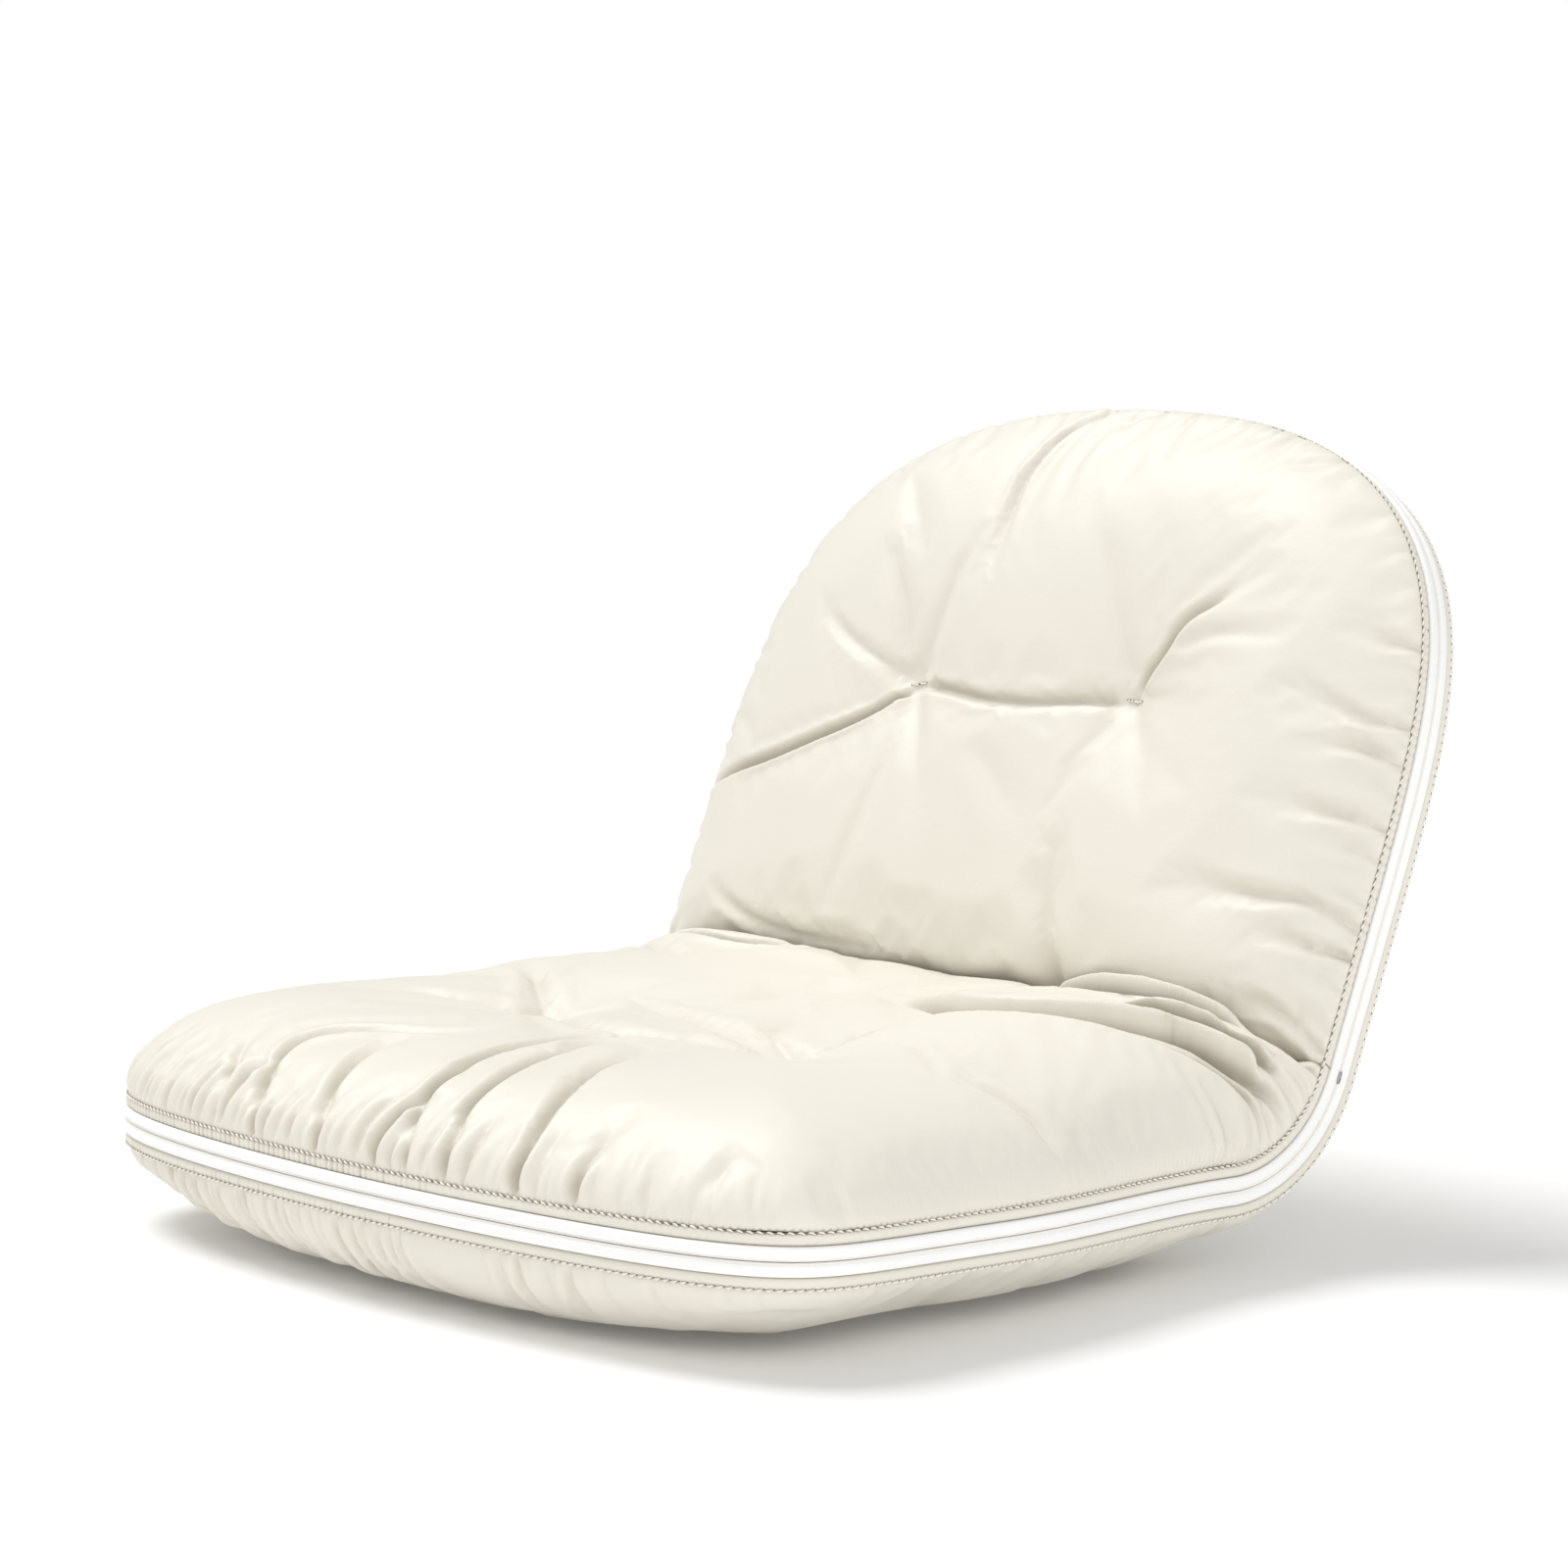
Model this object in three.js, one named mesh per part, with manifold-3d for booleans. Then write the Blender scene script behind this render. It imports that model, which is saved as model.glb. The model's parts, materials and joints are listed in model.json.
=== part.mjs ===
// A tufted, one-piece seat-and-back chair pad. A bent plywood shell carries foam and fibre
// on its inner face and thin foam on its outer face. Two quilted covers (seat and back) and
// one outer cover meet at a pair of welts that run round the whole edge, with a coil zip
// between them. Millimetres, +Z up, the sitter faces -Y. The origin is on the flat underside.
//
// Every part is laid out on the flattened shell: x across, s along the middle surface from
// the seat's front edge to the top of the back, n off that surface, towards the sitter.
import * as THREE from 'three';
import { mergeGeometries, mergeVertices } from 'three/addons/utils/BufferGeometryUtils.js';
import Module from 'manifold-3d';

const wasm = await Module();
wasm.setup();

// --- driving dimensions ---------------------------------------------------------------
const RAD = Math.PI / 180;
const SEAT_TILT = 1.7 * RAD;        // the seat falls this much towards the back
const BEND_TURN = 68.7 * RAD;       // how far the shell turns from the seat to the back
const BEND_RADIUS = 76;
const SEAT_LENGTH = 323;            // straight run before the bend
const BACK_LENGTH = 322;            // straight run after the bend
const FRONT_HEIGHT = 52;            // middle surface above the floor at the front edge
const ORIGIN_S = 190;               // the origin lies under this point of the seat
const SEAT_HALF_WIDTH = 250;
const BACK_HALF_WIDTH = 232;
const FRONT_ROUND = { length: 157, across: 1.8, along: 7.5 }; // superellipse of the front edge
const TOP_ROUND = { length: 266, across: 2.4, along: 3.9 };   // superellipse of the back's top

const BEND_END = SEAT_LENGTH + BEND_RADIUS * BEND_TURN;
const TOTAL_LENGTH = BEND_END + BACK_LENGTH;
const CREASE_S = 414;               // where the seat and back covers are sewn together
const CREASE_HALF_GAP = 2;

const STATION_PITCH = 110;          // spacing of the outline's stations on a straight run
const STATION_TURN = 17 * RAD;      // and the turn in the outline that takes one more
const STATION_BEND = 8.5 * RAD;     // and the same for the shell's bend

const COVER = 1.2;                  // leather thickness
const LAYER_GAP = 1.6;              // air between two soft layers
const FIBRE = 6;                    // fibre wrap thickness
const PLY_HALF = 5;                 // half the plywood's thickness
const PLY_INSET = 8;
const PLY_CLEAR = 0.8;              // foam to plywood
const SEAT_CROWN = 73;              // top of the seat cover above the middle surface
const BACK_CROWN = 50;
const REAR_DEPTH = 20;              // outer cover behind the back
const DIMPLE = { depth: 18, spread: 36 };
const CREASE_PULL = { depth: 22, reach: 120 };

const WELT = { o: 1.5, n: 3.7, halfO: 1.9, halfN: 2.65, sides: 8 };
const FLANGE = { outer: 1.4, foot: 6.7, shoulder: 11.2 };

const SEAT_TUFTS = { x: 88, s: 184 };
const BACK_TUFTS = { x: 76, s: 574 };
const THREAD_RADIUS = 1;
const THREAD_HOLE = 1.7;
const TACK = { length: 12, radius: 0.8 };
const ANCHOR = { radius: 7, bore: 1.5, thick: 2 };

const NUT = { x: 80, s: [90, 290], flange: 9.5, flangeThick: 1.4, barrel: 3.8, bore: 2.5 };
const SCREW_HOLE = 5;               // in the outer cover and the foam over it

const SLIDER_S = 412;               // where the slider is parked
const SLIDER_LENGTH = 8.5;
const ROUND_SIDES = 14;

// --- colours --------------------------------------------------------------------------
const LEATHER = { color: 0xf3ecdf, roughness: 0.5 };
const WHITE = { color: 0xffffff, roughness: 0.45 };
const THREAD = { color: 0xeee8dc, roughness: 0.8 };
const TAPE = { color: 0xf4f0e8, roughness: 0.9 };
const COIL = { color: 0xe9e5da, roughness: 0.4 };
const FOAM = { color: 0xf4e7ae, roughness: 1 };
const WADDING = { color: 0xfbfbf8, roughness: 1 };
const PLYWOOD = { color: 0xc79f6a, roughness: 0.7 };
const ZINC = { color: 0xc8cacc, roughness: 0.35, metalness: 1 };
const NYLON = { color: 0xd8d6ce, roughness: 0.6 };

// --- the flattened shell and its outline ------------------------------------------------
const shellAngle = (s) =>
  -SEAT_TILT + THREE.MathUtils.clamp((s - SEAT_LENGTH) / BEND_RADIUS, 0, BEND_TURN);

function onShell(x, s, n, floor = -Infinity) {
  const a = shellAngle(s);
  const seat = Math.min(s, SEAT_LENGTH);
  const back = Math.max(s - BEND_END, 0);
  const y = (seat - ORIGIN_S) * Math.cos(SEAT_TILT)
    + BEND_RADIUS * (Math.sin(SEAT_TILT) + Math.sin(a)) + back * Math.cos(a);
  const z = FRONT_HEIGHT - seat * Math.sin(SEAT_TILT)
    + BEND_RADIUS * (Math.cos(SEAT_TILT) - Math.cos(a)) + back * Math.sin(a);
  return new THREE.Vector3(x, y - n * Math.sin(a), Math.max(z + n * Math.cos(a), floor));
}

const roundEnd = (t, shape) => (1 - (1 - t) ** shape.along) ** (1 / shape.across);

function halfWidth(s) {
  if (s < FRONT_ROUND.length) return SEAT_HALF_WIDTH * roundEnd(s / FRONT_ROUND.length, FRONT_ROUND);
  const fromTop = TOTAL_LENGTH - s;
  if (fromTop < TOP_ROUND.length) return BACK_HALF_WIDTH * roundEnd(fromTop / TOP_ROUND.length, TOP_ROUND);
  const taper = THREE.MathUtils.smoothstep(s, FRONT_ROUND.length, SEAT_LENGTH);
  return THREE.MathUtils.lerp(SEAT_HALF_WIDTH, BACK_HALF_WIDTH, taper);
}

// Right-hand half of the outline, from the front's middle to the top's middle, cut into
// stations so that straight runs get few and corners and the bend get more.
function rightStations() {
  const fine = [];
  const steps = 4000;
  for (let i = 0; i <= steps; i++) {
    const s = TOTAL_LENGTH * (0.5 - 0.5 * Math.cos(Math.PI * i / steps));
    fine.push(new THREE.Vector2(halfWidth(s), s));
  }
  const cost = [0];
  let heading = 0;
  for (let i = 1; i <= steps; i++) {
    const step = fine[i].clone().sub(fine[i - 1]);
    const turn = Math.abs(step.angle() - heading) % (2 * Math.PI);
    const bend = Math.abs(shellAngle(fine[i].y) - shellAngle(fine[i - 1].y));
    cost.push(cost[i - 1] + step.length() / STATION_PITCH + turn / STATION_TURN + bend / STATION_BEND);
    heading = step.angle();
  }
  const count = Math.round(cost[steps]);
  const stations = [];
  let i = 0;
  for (let k = 0; k <= count; k++) {
    while (i < steps && cost[i] < cost[steps] * k / count) i++;
    stations.push(fine[i].clone());
  }
  return stations;
}

// Adds to each point of a closed outline the direction that points out of it.
function withNormals(points) {
  return points.map((p, i) => {
    const before = points[(i + points.length - 1) % points.length];
    const after = points[(i + 1) % points.length];
    const along = after.clone().sub(p).normalize().add(p.clone().sub(before).normalize());
    return { p, out: new THREE.Vector2(along.y, -along.x).normalize() };
  });
}

const mirrored = (points) => points.map((p) => new THREE.Vector2(-p.x, p.y)).reverse();

const RIGHT = rightStations();
const OUTLINE = withNormals([...RIGHT, ...mirrored(RIGHT.slice(1, -1))]);

// The crease line splits the outline into the seat's and the back's.
function creaseLine(s) {
  const across = 6;
  return Array.from({ length: across + 1 }, (_, i) =>
    new THREE.Vector2(BACK_HALF_WIDTH * (1 - 2 * i / across), s));
}
const seatEdge = CREASE_S - CREASE_HALF_GAP;
const backEdge = CREASE_S + CREASE_HALF_GAP;
const seatSide = RIGHT.filter((p) => p.y < seatEdge - 3);
const backSide = RIGHT.filter((p) => p.y > backEdge + 3);
const SEAT_OUTLINE = withNormals([...seatSide, ...creaseLine(seatEdge), ...mirrored(seatSide.slice(1))]);
const BACK_OUTLINE = withNormals([
  ...backSide, ...mirrored(backSide.slice(0, -1)), ...creaseLine(backEdge).reverse(),
]);

const SPINES = {
  whole: [150, TOTAL_LENGTH - 150],
  seat: [150, seatEdge - 20],
  back: [backEdge + 20, TOTAL_LENGTH - 150],
};

// --- closed bodies from rings -----------------------------------------------------------
// Merges shared corners, drops the triangles that collapse, and turns the faces outwards.
function closedGeometry(positions, indices) {
  let geometry = new THREE.BufferGeometry();
  geometry.setAttribute('position', new THREE.Float32BufferAttribute(positions, 3));
  geometry.setIndex(indices);
  geometry = mergeVertices(geometry, 1e-3);
  const index = geometry.index.array;
  const kept = [];
  for (let i = 0; i < index.length; i += 3) {
    const [a, b, c] = index.slice(i, i + 3);
    if (a !== b && b !== c && c !== a) kept.push(a, b, c);
  }
  const at = (k) => new THREE.Vector3().fromBufferAttribute(geometry.attributes.position, k);
  let volume = 0;
  for (let i = 0; i < kept.length; i += 3) {
    volume += at(kept[i]).dot(at(kept[i + 1]).cross(at(kept[i + 2])));
  }
  geometry.setIndex(volume < 0 ? kept.reverse() : kept);
  return geometry;
}

// Joins rings of equal length one after another; closed joins the last to the first too.
// A dished layer runs out over its face and back under its lining: from ring turnAt on, the
// quads are split the other way, so that a lining has the same facets as a face.
function joinRings(rings, { closed = false, turnAt = Infinity } = {}) {
  const count = rings[0].length;
  const positions = rings.flat().flatMap((p) => [p.x, p.y, p.z]);
  const indices = [];
  for (let r = 0; r < rings.length - (closed ? 0 : 1); r++) {
    const next = (r + 1) % rings.length;
    for (let i = 0; i < count; i++) {
      const j = (i + 1) % count;
      const [a, b, c, d] = [r * count + i, r * count + j, next * count + j, next * count + i];
      if (r < turnAt) indices.push(a, b, c, a, c, d);
      else indices.push(a, b, d, b, c, d);
    }
  }
  return closedGeometry(positions, indices);
}

// A bead that runs round the whole edge; its section is a list of [out, n] corners.
function edgeBead(section) {
  const rings = section.map(([o, n]) =>
    OUTLINE.map(({ p, out }) => onShell(p.x + o * out.x, p.y + o * out.y, n)));
  return joinRings(rings, { closed: true });
}

const ellipseSection = ({ o, n, halfO, halfN, sides }) =>
  Array.from({ length: sides }, (_, i) => {
    const a = 2 * Math.PI * (i + 0.5) / sides;
    return [o + halfO * Math.cos(a), n + halfN * Math.sin(a)];
  });

const boxSection = (o0, o1, n0, n1) => [[o0, n0], [o1, n0], [o1, n1], [o0, n1]];

const below = (section) => section.map(([o, n]) => [o, -n]);

// A ring at a fixed offset from the outline.
const rimRing = (outline, o, n) =>
  outline.map(({ p, out }) => onShell(p.x + o * out.x, p.y + o * out.y, n));

// A ring drawn in from the outline towards the spine, at the height that heightAt gives. The
// inset fades towards the middle, so that stacked layers share their facets there.
function innerRing(outline, spine, inset, rho, heightAt, floor) {
  return outline.map(({ p, out }) => {
    const o = inset * rho ** 8;
    const edge = new THREE.Vector2(p.x + o * out.x, p.y + o * out.y);
    const centre = new THREE.Vector2(0, THREE.MathUtils.clamp(edge.y, spine[0], spine[1]));
    const q = centre.lerp(edge, rho);
    return onShell(q.x, q.y, heightAt(q.x, q.y, rho), floor);
  });
}

const RHO = [0.965, 0.87, 0.66, 0.36, 0];

// --- heights of the soft layers ---------------------------------------------------------
const dome = (rho, power) => (1 - rho ** power.p) ** (1 / power.q);
const PLUMP = { p: 3.8, q: 2.0 };
const FLAT = { p: 3.4, q: 1.8 };

function dimple(x, s, tufts) {
  const r2 = (Math.abs(x) - tufts.x) ** 2 + (s - tufts.s) ** 2;
  return DIMPLE.depth * Math.exp(-r2 / (2 * DIMPLE.spread ** 2));
}

// Both cushions are pulled down towards the crease between them.
function creasePull(s) {
  const near = 1 - THREE.MathUtils.smoothstep(Math.abs(s - CREASE_S), 0, CREASE_PULL.reach);
  return CREASE_PULL.depth * near;
}

const padHeight = (rim, crown, tufts) => (x, s, rho) =>
  rim + (crown - rim - creasePull(s) - dimple(x, s, tufts)) * dome(rho, PLUMP);

// Depth of the outer cover: down to the floor under the seat, thin behind the back.
function outerDepth(s) {
  const toFloor = (FRONT_HEIGHT - s * Math.sin(SEAT_TILT)) / Math.cos(SEAT_TILT) + 3;
  const rise = THREE.MathUtils.smoothstep(s, SEAT_LENGTH - 50, BEND_END + 30);
  return THREE.MathUtils.lerp(toFloor, REAR_DEPTH, rise);
}
const outerHeight = (rim, less) => (x, s, rho) =>
  -(rim + (outerDepth(s) - less - rim) * dome(rho, FLAT));

// --- soft layers ------------------------------------------------------------------------
// A dished cover with a folded flange: outer face from the middle out, then back inside.
function quiltedCover(outline, spine, crown, tufts) {
  const { outer, foot, shoulder } = FLANGE;
  const face = padHeight(shoulder + 1.5, crown, tufts);
  const lining = padHeight(shoulder, crown - COVER, tufts);
  return joinRings([
    ...RHO.map((rho) => innerRing(outline, spine, 0, rho, face)).reverse(),
    rimRing(outline, outer, shoulder),
    rimRing(outline, outer, foot),
    rimRing(outline, outer - COVER, foot),
    rimRing(outline, outer - COVER, shoulder - COVER),
    ...RHO.map((rho) => innerRing(outline, spine, -COVER, rho, lining)),
  ], { turnAt: RHO.length });
}

function fibreWrap(outline, spine, crown, tufts) {
  const inset = -6.5;
  const rim = FLANGE.shoulder - 1;
  const top = crown - COVER - LAYER_GAP;
  const face = padHeight(rim, top, tufts);
  const lining = padHeight(rim - 2, top - FIBRE, tufts);
  return joinRings([
    ...RHO.map((rho) => innerRing(outline, spine, inset, rho, face)).reverse(),
    innerRing(outline, spine, inset, 1, face),
    innerRing(outline, spine, inset - COVER, 1, face),
    ...RHO.map((rho) => innerRing(outline, spine, inset - COVER, rho, lining)),
  ], { turnAt: RHO.length });
}

function paddingFoam(outline, spine, crown, tufts) {
  const inset = -9.5;
  const base = PLY_HALF + PLY_CLEAR;
  const top = crown - COVER - FIBRE - 2 * LAYER_GAP;
  const face = padHeight(base + 1, top, tufts);
  return joinRings([
    ...RHO.map((rho) => innerRing(outline, spine, inset, rho, face)).reverse(),
    innerRing(outline, spine, inset, 1, () => base),
    innerRing(outline, spine, inset, 0, () => base),
  ]);
}

function outerCover() {
  const { outer, foot, shoulder } = FLANGE;
  const face = outerHeight(shoulder, 0);
  const lining = outerHeight(shoulder - COVER, COVER);
  return joinRings([
    ...RHO.map((rho) => innerRing(OUTLINE, SPINES.whole, 0, rho, face, 0)).reverse(),
    rimRing(OUTLINE, outer, -shoulder + 1),
    rimRing(OUTLINE, outer, -foot),
    rimRing(OUTLINE, outer - COVER, -foot),
    rimRing(OUTLINE, outer - COVER, -shoulder + 1 + COVER),
    ...RHO.map((rho) => innerRing(OUTLINE, SPINES.whole, -COVER, rho, lining, COVER)),
  ], { turnAt: RHO.length });
}

function outerFoam(outline, spine) {
  const inset = -9.5;
  const base = -(PLY_HALF + PLY_CLEAR);
  const face = outerHeight(PLY_HALF + 2, COVER + LAYER_GAP);
  const floor = COVER + LAYER_GAP;
  return joinRings([
    ...RHO.map((rho) => innerRing(outline, spine, inset, rho, face, floor)).reverse(),
    innerRing(outline, spine, inset, 1, () => base),
    innerRing(outline, spine, inset, 0, () => base),
  ]);
}

function plywoodShell() {
  const face = (n) => [1, 0.5, 0].map((rho) =>
    innerRing(OUTLINE, SPINES.whole, -PLY_INSET, rho, () => n));
  return joinRings([...face(PLY_HALF).reverse(), ...face(-PLY_HALF)]);
}

// --- booleans ---------------------------------------------------------------------------
function toManifold(geometry) {
  const bare = geometry.clone();
  bare.deleteAttribute('normal');
  bare.deleteAttribute('uv');
  const merged = mergeVertices(bare, 1e-3);
  return new wasm.Manifold(new wasm.Mesh({
    numProp: 3,
    vertProperties: new Float32Array(merged.attributes.position.array),
    triVerts: new Uint32Array(merged.index.array),
  }));
}

function toGeometry(solid) {
  const { vertProperties, triVerts } = solid.getMesh();
  const geometry = new THREE.BufferGeometry();
  geometry.setAttribute('position', new THREE.BufferAttribute(vertProperties, 3));
  geometry.setIndex(new THREE.BufferAttribute(triVerts, 1));
  return geometry;
}

const cut = (geometry, tools) =>
  toGeometry(tools.reduce((solid, tool) => solid.subtract(toManifold(tool)), toManifold(geometry)));

const join = (geometries) =>
  toGeometry(geometries.map(toManifold).reduce((a, b) => a.add(b)));

// --- pieces that stand across the shell ---------------------------------------------------
// Local axes of a piece at (x, s): X across, Z along n.
function standing(geometry, x, s, n = 0) {
  const placed = geometry.clone();
  placed.rotateX(shellAngle(s));
  const at = onShell(x, s, n);
  return placed.translate(at.x, at.y, at.z);
}

const rod = (radius, n0, n1, sides = ROUND_SIDES) =>
  new THREE.CylinderGeometry(radius, radius, n1 - n0, sides)
    .rotateX(Math.PI / 2).translate(0, 0, (n0 + n1) / 2);

const drill = (place, radius, n0, n1) => standing(rod(radius, n0, n1, 10), place.x, place.s);

const SIDES = { left: -1, right: 1 };
const bothSides = (tufts) => Object.values(SIDES).map((side) => ({ x: side * tufts.x, s: tufts.s }));
const NUT_PLACES = NUT.s.flatMap((s) => Object.values(SIDES).map((side) => ({ x: side * NUT.x, s })));

const threadHoles = (tufts) => bothSides(tufts).map((at) => drill(at, THREAD_HOLE, -40, 100));
const anchorPockets = (tufts) =>
  bothSides(tufts).map((at) => drill(at, ANCHOR.radius + 1, -PLY_HALF - ANCHOR.thick - 4, -PLY_HALF));

// The height of a finished face above the shell at (x, s).
function faceHeight(geometry, x, s) {
  const above = 200;
  const from = onShell(x, s, above);
  const down = onShell(x, s, 0).sub(from).normalize();
  const mesh = new THREE.Mesh(geometry, new THREE.MeshBasicMaterial({ side: THREE.DoubleSide }));
  const [hit] = new THREE.Raycaster(from, down).intersectObject(mesh);
  return above - hit.distance;
}

// Thread pulled from a bar tack on the cover down to a knot behind the plywood.
function tuftThread(at, coverGeometry) {
  const rests = [-1, 1].map((end) =>
    faceHeight(coverGeometry, at.x + end * TACK.length / 2, at.s));
  const top = Math.max(...rests) + TACK.radius + 0.5;
  const bar = new THREE.CylinderGeometry(TACK.radius, TACK.radius, TACK.length, 8)
    .rotateZ(Math.PI / 2).translate(0, 0, top);
  const knotTop = -PLY_HALF - ANCHOR.thick - 0.7;
  const knot = rod(ANCHOR.bore + 1, knotTop - 2, knotTop, 8);
  return standing(join([bar, rod(THREAD_RADIUS, knotTop - 1, top, 8), knot]), at.x, at.s);
}

function ringLathe(inner, outer, n0, n1) {
  const profile = [[inner, n0], [outer, n0], [outer, n1], [inner, n1], [inner, n0]];
  return new THREE.LatheGeometry(profile.map(([r, z]) => new THREE.Vector2(r, z)), ROUND_SIDES)
    .rotateX(Math.PI / 2);
}

function tuftAnchor(at) {
  const top = -PLY_HALF - 0.4;
  return standing(ringLathe(ANCHOR.bore, ANCHOR.radius, top - ANCHOR.thick, top), at.x, at.s);
}

function teeNut(at) {
  const seat = PLY_HALF + 0.3;
  const flange = ringLathe(NUT.bore, NUT.flange, seat, seat + NUT.flangeThick);
  const barrel = ringLathe(NUT.bore, NUT.barrel, -PLY_HALF + 1, seat + NUT.flangeThick / 2);
  return standing(join([flange, barrel]), at.x, at.s);
}

// --- the zip ------------------------------------------------------------------------------
const TAPE_SECTION = boxSection(-2.6, -2.1, 0.8, 6.3);
const COIL_SECTION = boxSection(-4.4, -2.9, 0.45, 2.4);
const STITCH_SECTION = [[1.75, 10.1], [2.35, 10.4], [1.75, 10.7]];

function slab(o0, o1, halfN, length) {
  return new THREE.BoxGeometry(o1 - o0, length, 2 * halfN).translate((o0 + o1) / 2, 0, 0);
}

// Two plates joined by a post that runs in the slot between the coils, and a low bridge.
const zipSlider = () => standing(join([
  slab(-5.6, -4.8, 3.2, SLIDER_LENGTH),
  slab(-4.9, -1.6, 0.22, SLIDER_LENGTH / 2),
  slab(-1.7, -0.9, 2.6, SLIDER_LENGTH),
  slab(-1, 1.2, 0.4, SLIDER_LENGTH * 0.6),
]), BACK_HALF_WIDTH, SLIDER_S);

// A staple across the inside of both coils that ends the slider's run.
const zipStop = () =>
  standing(slab(-6.2, -4.75, 2.4, 2.4), BACK_HALF_WIDTH, SLIDER_S + SLIDER_LENGTH / 2 + 3.6);

// The strip that is sewn into the crease and holds it down.
const creaseListing = () =>
  standing(new THREE.BoxGeometry(2 * BACK_HALF_WIDTH - 24, 0.6, 6).translate(0, 0, 8.8), 0, CREASE_S);

// --- assembly -----------------------------------------------------------------------------
const pad = new THREE.Group();

function piece(name, geometry, look) {
  const plain = geometry.index ? geometry : mergeGeometries([geometry]);
  const faceted = plain.clone().toNonIndexed();
  faceted.computeVertexNormals();
  const mesh = new THREE.Mesh(faceted, new THREE.MeshStandardMaterial(look));
  mesh.name = name;
  pad.add(mesh);
}

const cushions = {
  seat: { outline: SEAT_OUTLINE, spine: SPINES.seat, crown: SEAT_CROWN, tufts: SEAT_TUFTS },
  back: { outline: BACK_OUTLINE, spine: SPINES.back, crown: BACK_CROWN, tufts: BACK_TUFTS },
};
const nutPockets = NUT_PLACES.map((at) => drill(at, NUT.flange + 1, 0, PLY_HALF + 4));

for (const [name, { outline, spine, crown, tufts }] of Object.entries(cushions)) {
  const holes = threadHoles(tufts);
  const pockets = name === 'seat' ? nutPockets : [];
  const cover = quiltedCover(outline, spine, crown, tufts);
  piece(`${name}_cover`, cut(cover, holes), LEATHER);
  piece(`${name}_fibre_wrap`, cut(fibreWrap(outline, spine, crown, tufts), holes), WADDING);
  const foam = paddingFoam(outline, spine, crown, tufts);
  piece(`${name}_foam`, cut(foam, [...holes, ...pockets]), FOAM);
  for (const [side, sign] of Object.entries(SIDES)) {
    const at = { x: sign * tufts.x, s: tufts.s };
    piece(`${name}_tuft_thread_${side}`, tuftThread(at, cover), THREAD);
    piece(`${name}_tuft_anchor_${side}`, tuftAnchor(at), NYLON);
  }
}

const screwHoles = NUT_PLACES.map((at) => drill(at, SCREW_HOLE, -80, 0));
piece('outer_cover', cut(outerCover(), screwHoles), LEATHER);
piece('under_foam', cut(outerFoam(SEAT_OUTLINE, SPINES.seat),
  [...screwHoles, ...anchorPockets(SEAT_TUFTS)]), FOAM);
piece('rear_foam', cut(outerFoam(BACK_OUTLINE, SPINES.back), anchorPockets(BACK_TUFTS)), FOAM);

const plyHoles = [
  ...threadHoles(SEAT_TUFTS),
  ...threadHoles(BACK_TUFTS),
  ...NUT_PLACES.map((at) => drill(at, NUT.barrel + 0.5, -20, 20)),
];
piece('plywood_shell', cut(plywoodShell(), plyHoles), PLYWOOD);
NUT_PLACES.forEach((at, i) => piece(`tee_nut_${i + 1}`, teeNut(at), ZINC));
piece('crease_listing', creaseListing(), TAPE);

for (const [half, flip] of [['upper', (section) => section], ['lower', below]]) {
  piece(`${half}_welt`, edgeBead(flip(ellipseSection(WELT))), WHITE);
  piece(`${half}_zip_tape`, edgeBead(flip(TAPE_SECTION)), TAPE);
  piece(`${half}_zip_coil`, edgeBead(flip(COIL_SECTION)), COIL);
  piece(`${half}_topstitch`, edgeBead(flip(STITCH_SECTION)), THREAD);
}
piece('zip_slider', zipSlider(), ZINC);
piece('zip_stop', zipStop(), ZINC);

export default pad;
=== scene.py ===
"""Looks of the tufted seat-and-back chair pad: quilted leather covers, welts, stitches and zip."""
import json
import math

import bpy
import numpy as np
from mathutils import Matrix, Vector
from mathutils.geometry import delaunay_2d_cdt


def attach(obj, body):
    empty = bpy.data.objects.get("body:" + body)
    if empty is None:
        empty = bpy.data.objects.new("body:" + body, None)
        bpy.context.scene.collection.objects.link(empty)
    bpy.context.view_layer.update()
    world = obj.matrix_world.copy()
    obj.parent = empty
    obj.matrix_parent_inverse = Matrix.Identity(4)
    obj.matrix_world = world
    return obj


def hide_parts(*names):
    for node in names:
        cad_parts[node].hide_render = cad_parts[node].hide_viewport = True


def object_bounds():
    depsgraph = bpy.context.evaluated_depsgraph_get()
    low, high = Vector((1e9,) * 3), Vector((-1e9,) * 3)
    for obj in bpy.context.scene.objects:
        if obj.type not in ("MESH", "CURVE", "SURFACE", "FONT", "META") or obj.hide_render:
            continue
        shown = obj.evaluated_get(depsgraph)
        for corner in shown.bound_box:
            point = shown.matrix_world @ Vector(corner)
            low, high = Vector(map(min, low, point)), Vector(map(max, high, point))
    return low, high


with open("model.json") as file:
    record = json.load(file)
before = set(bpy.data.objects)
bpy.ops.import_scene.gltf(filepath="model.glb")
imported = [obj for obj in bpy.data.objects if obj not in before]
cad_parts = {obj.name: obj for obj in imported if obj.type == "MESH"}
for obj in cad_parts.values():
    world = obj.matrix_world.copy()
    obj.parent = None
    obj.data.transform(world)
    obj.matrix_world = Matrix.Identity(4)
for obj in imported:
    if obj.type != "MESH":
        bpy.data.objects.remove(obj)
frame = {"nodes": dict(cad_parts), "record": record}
cad_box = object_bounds()

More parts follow.
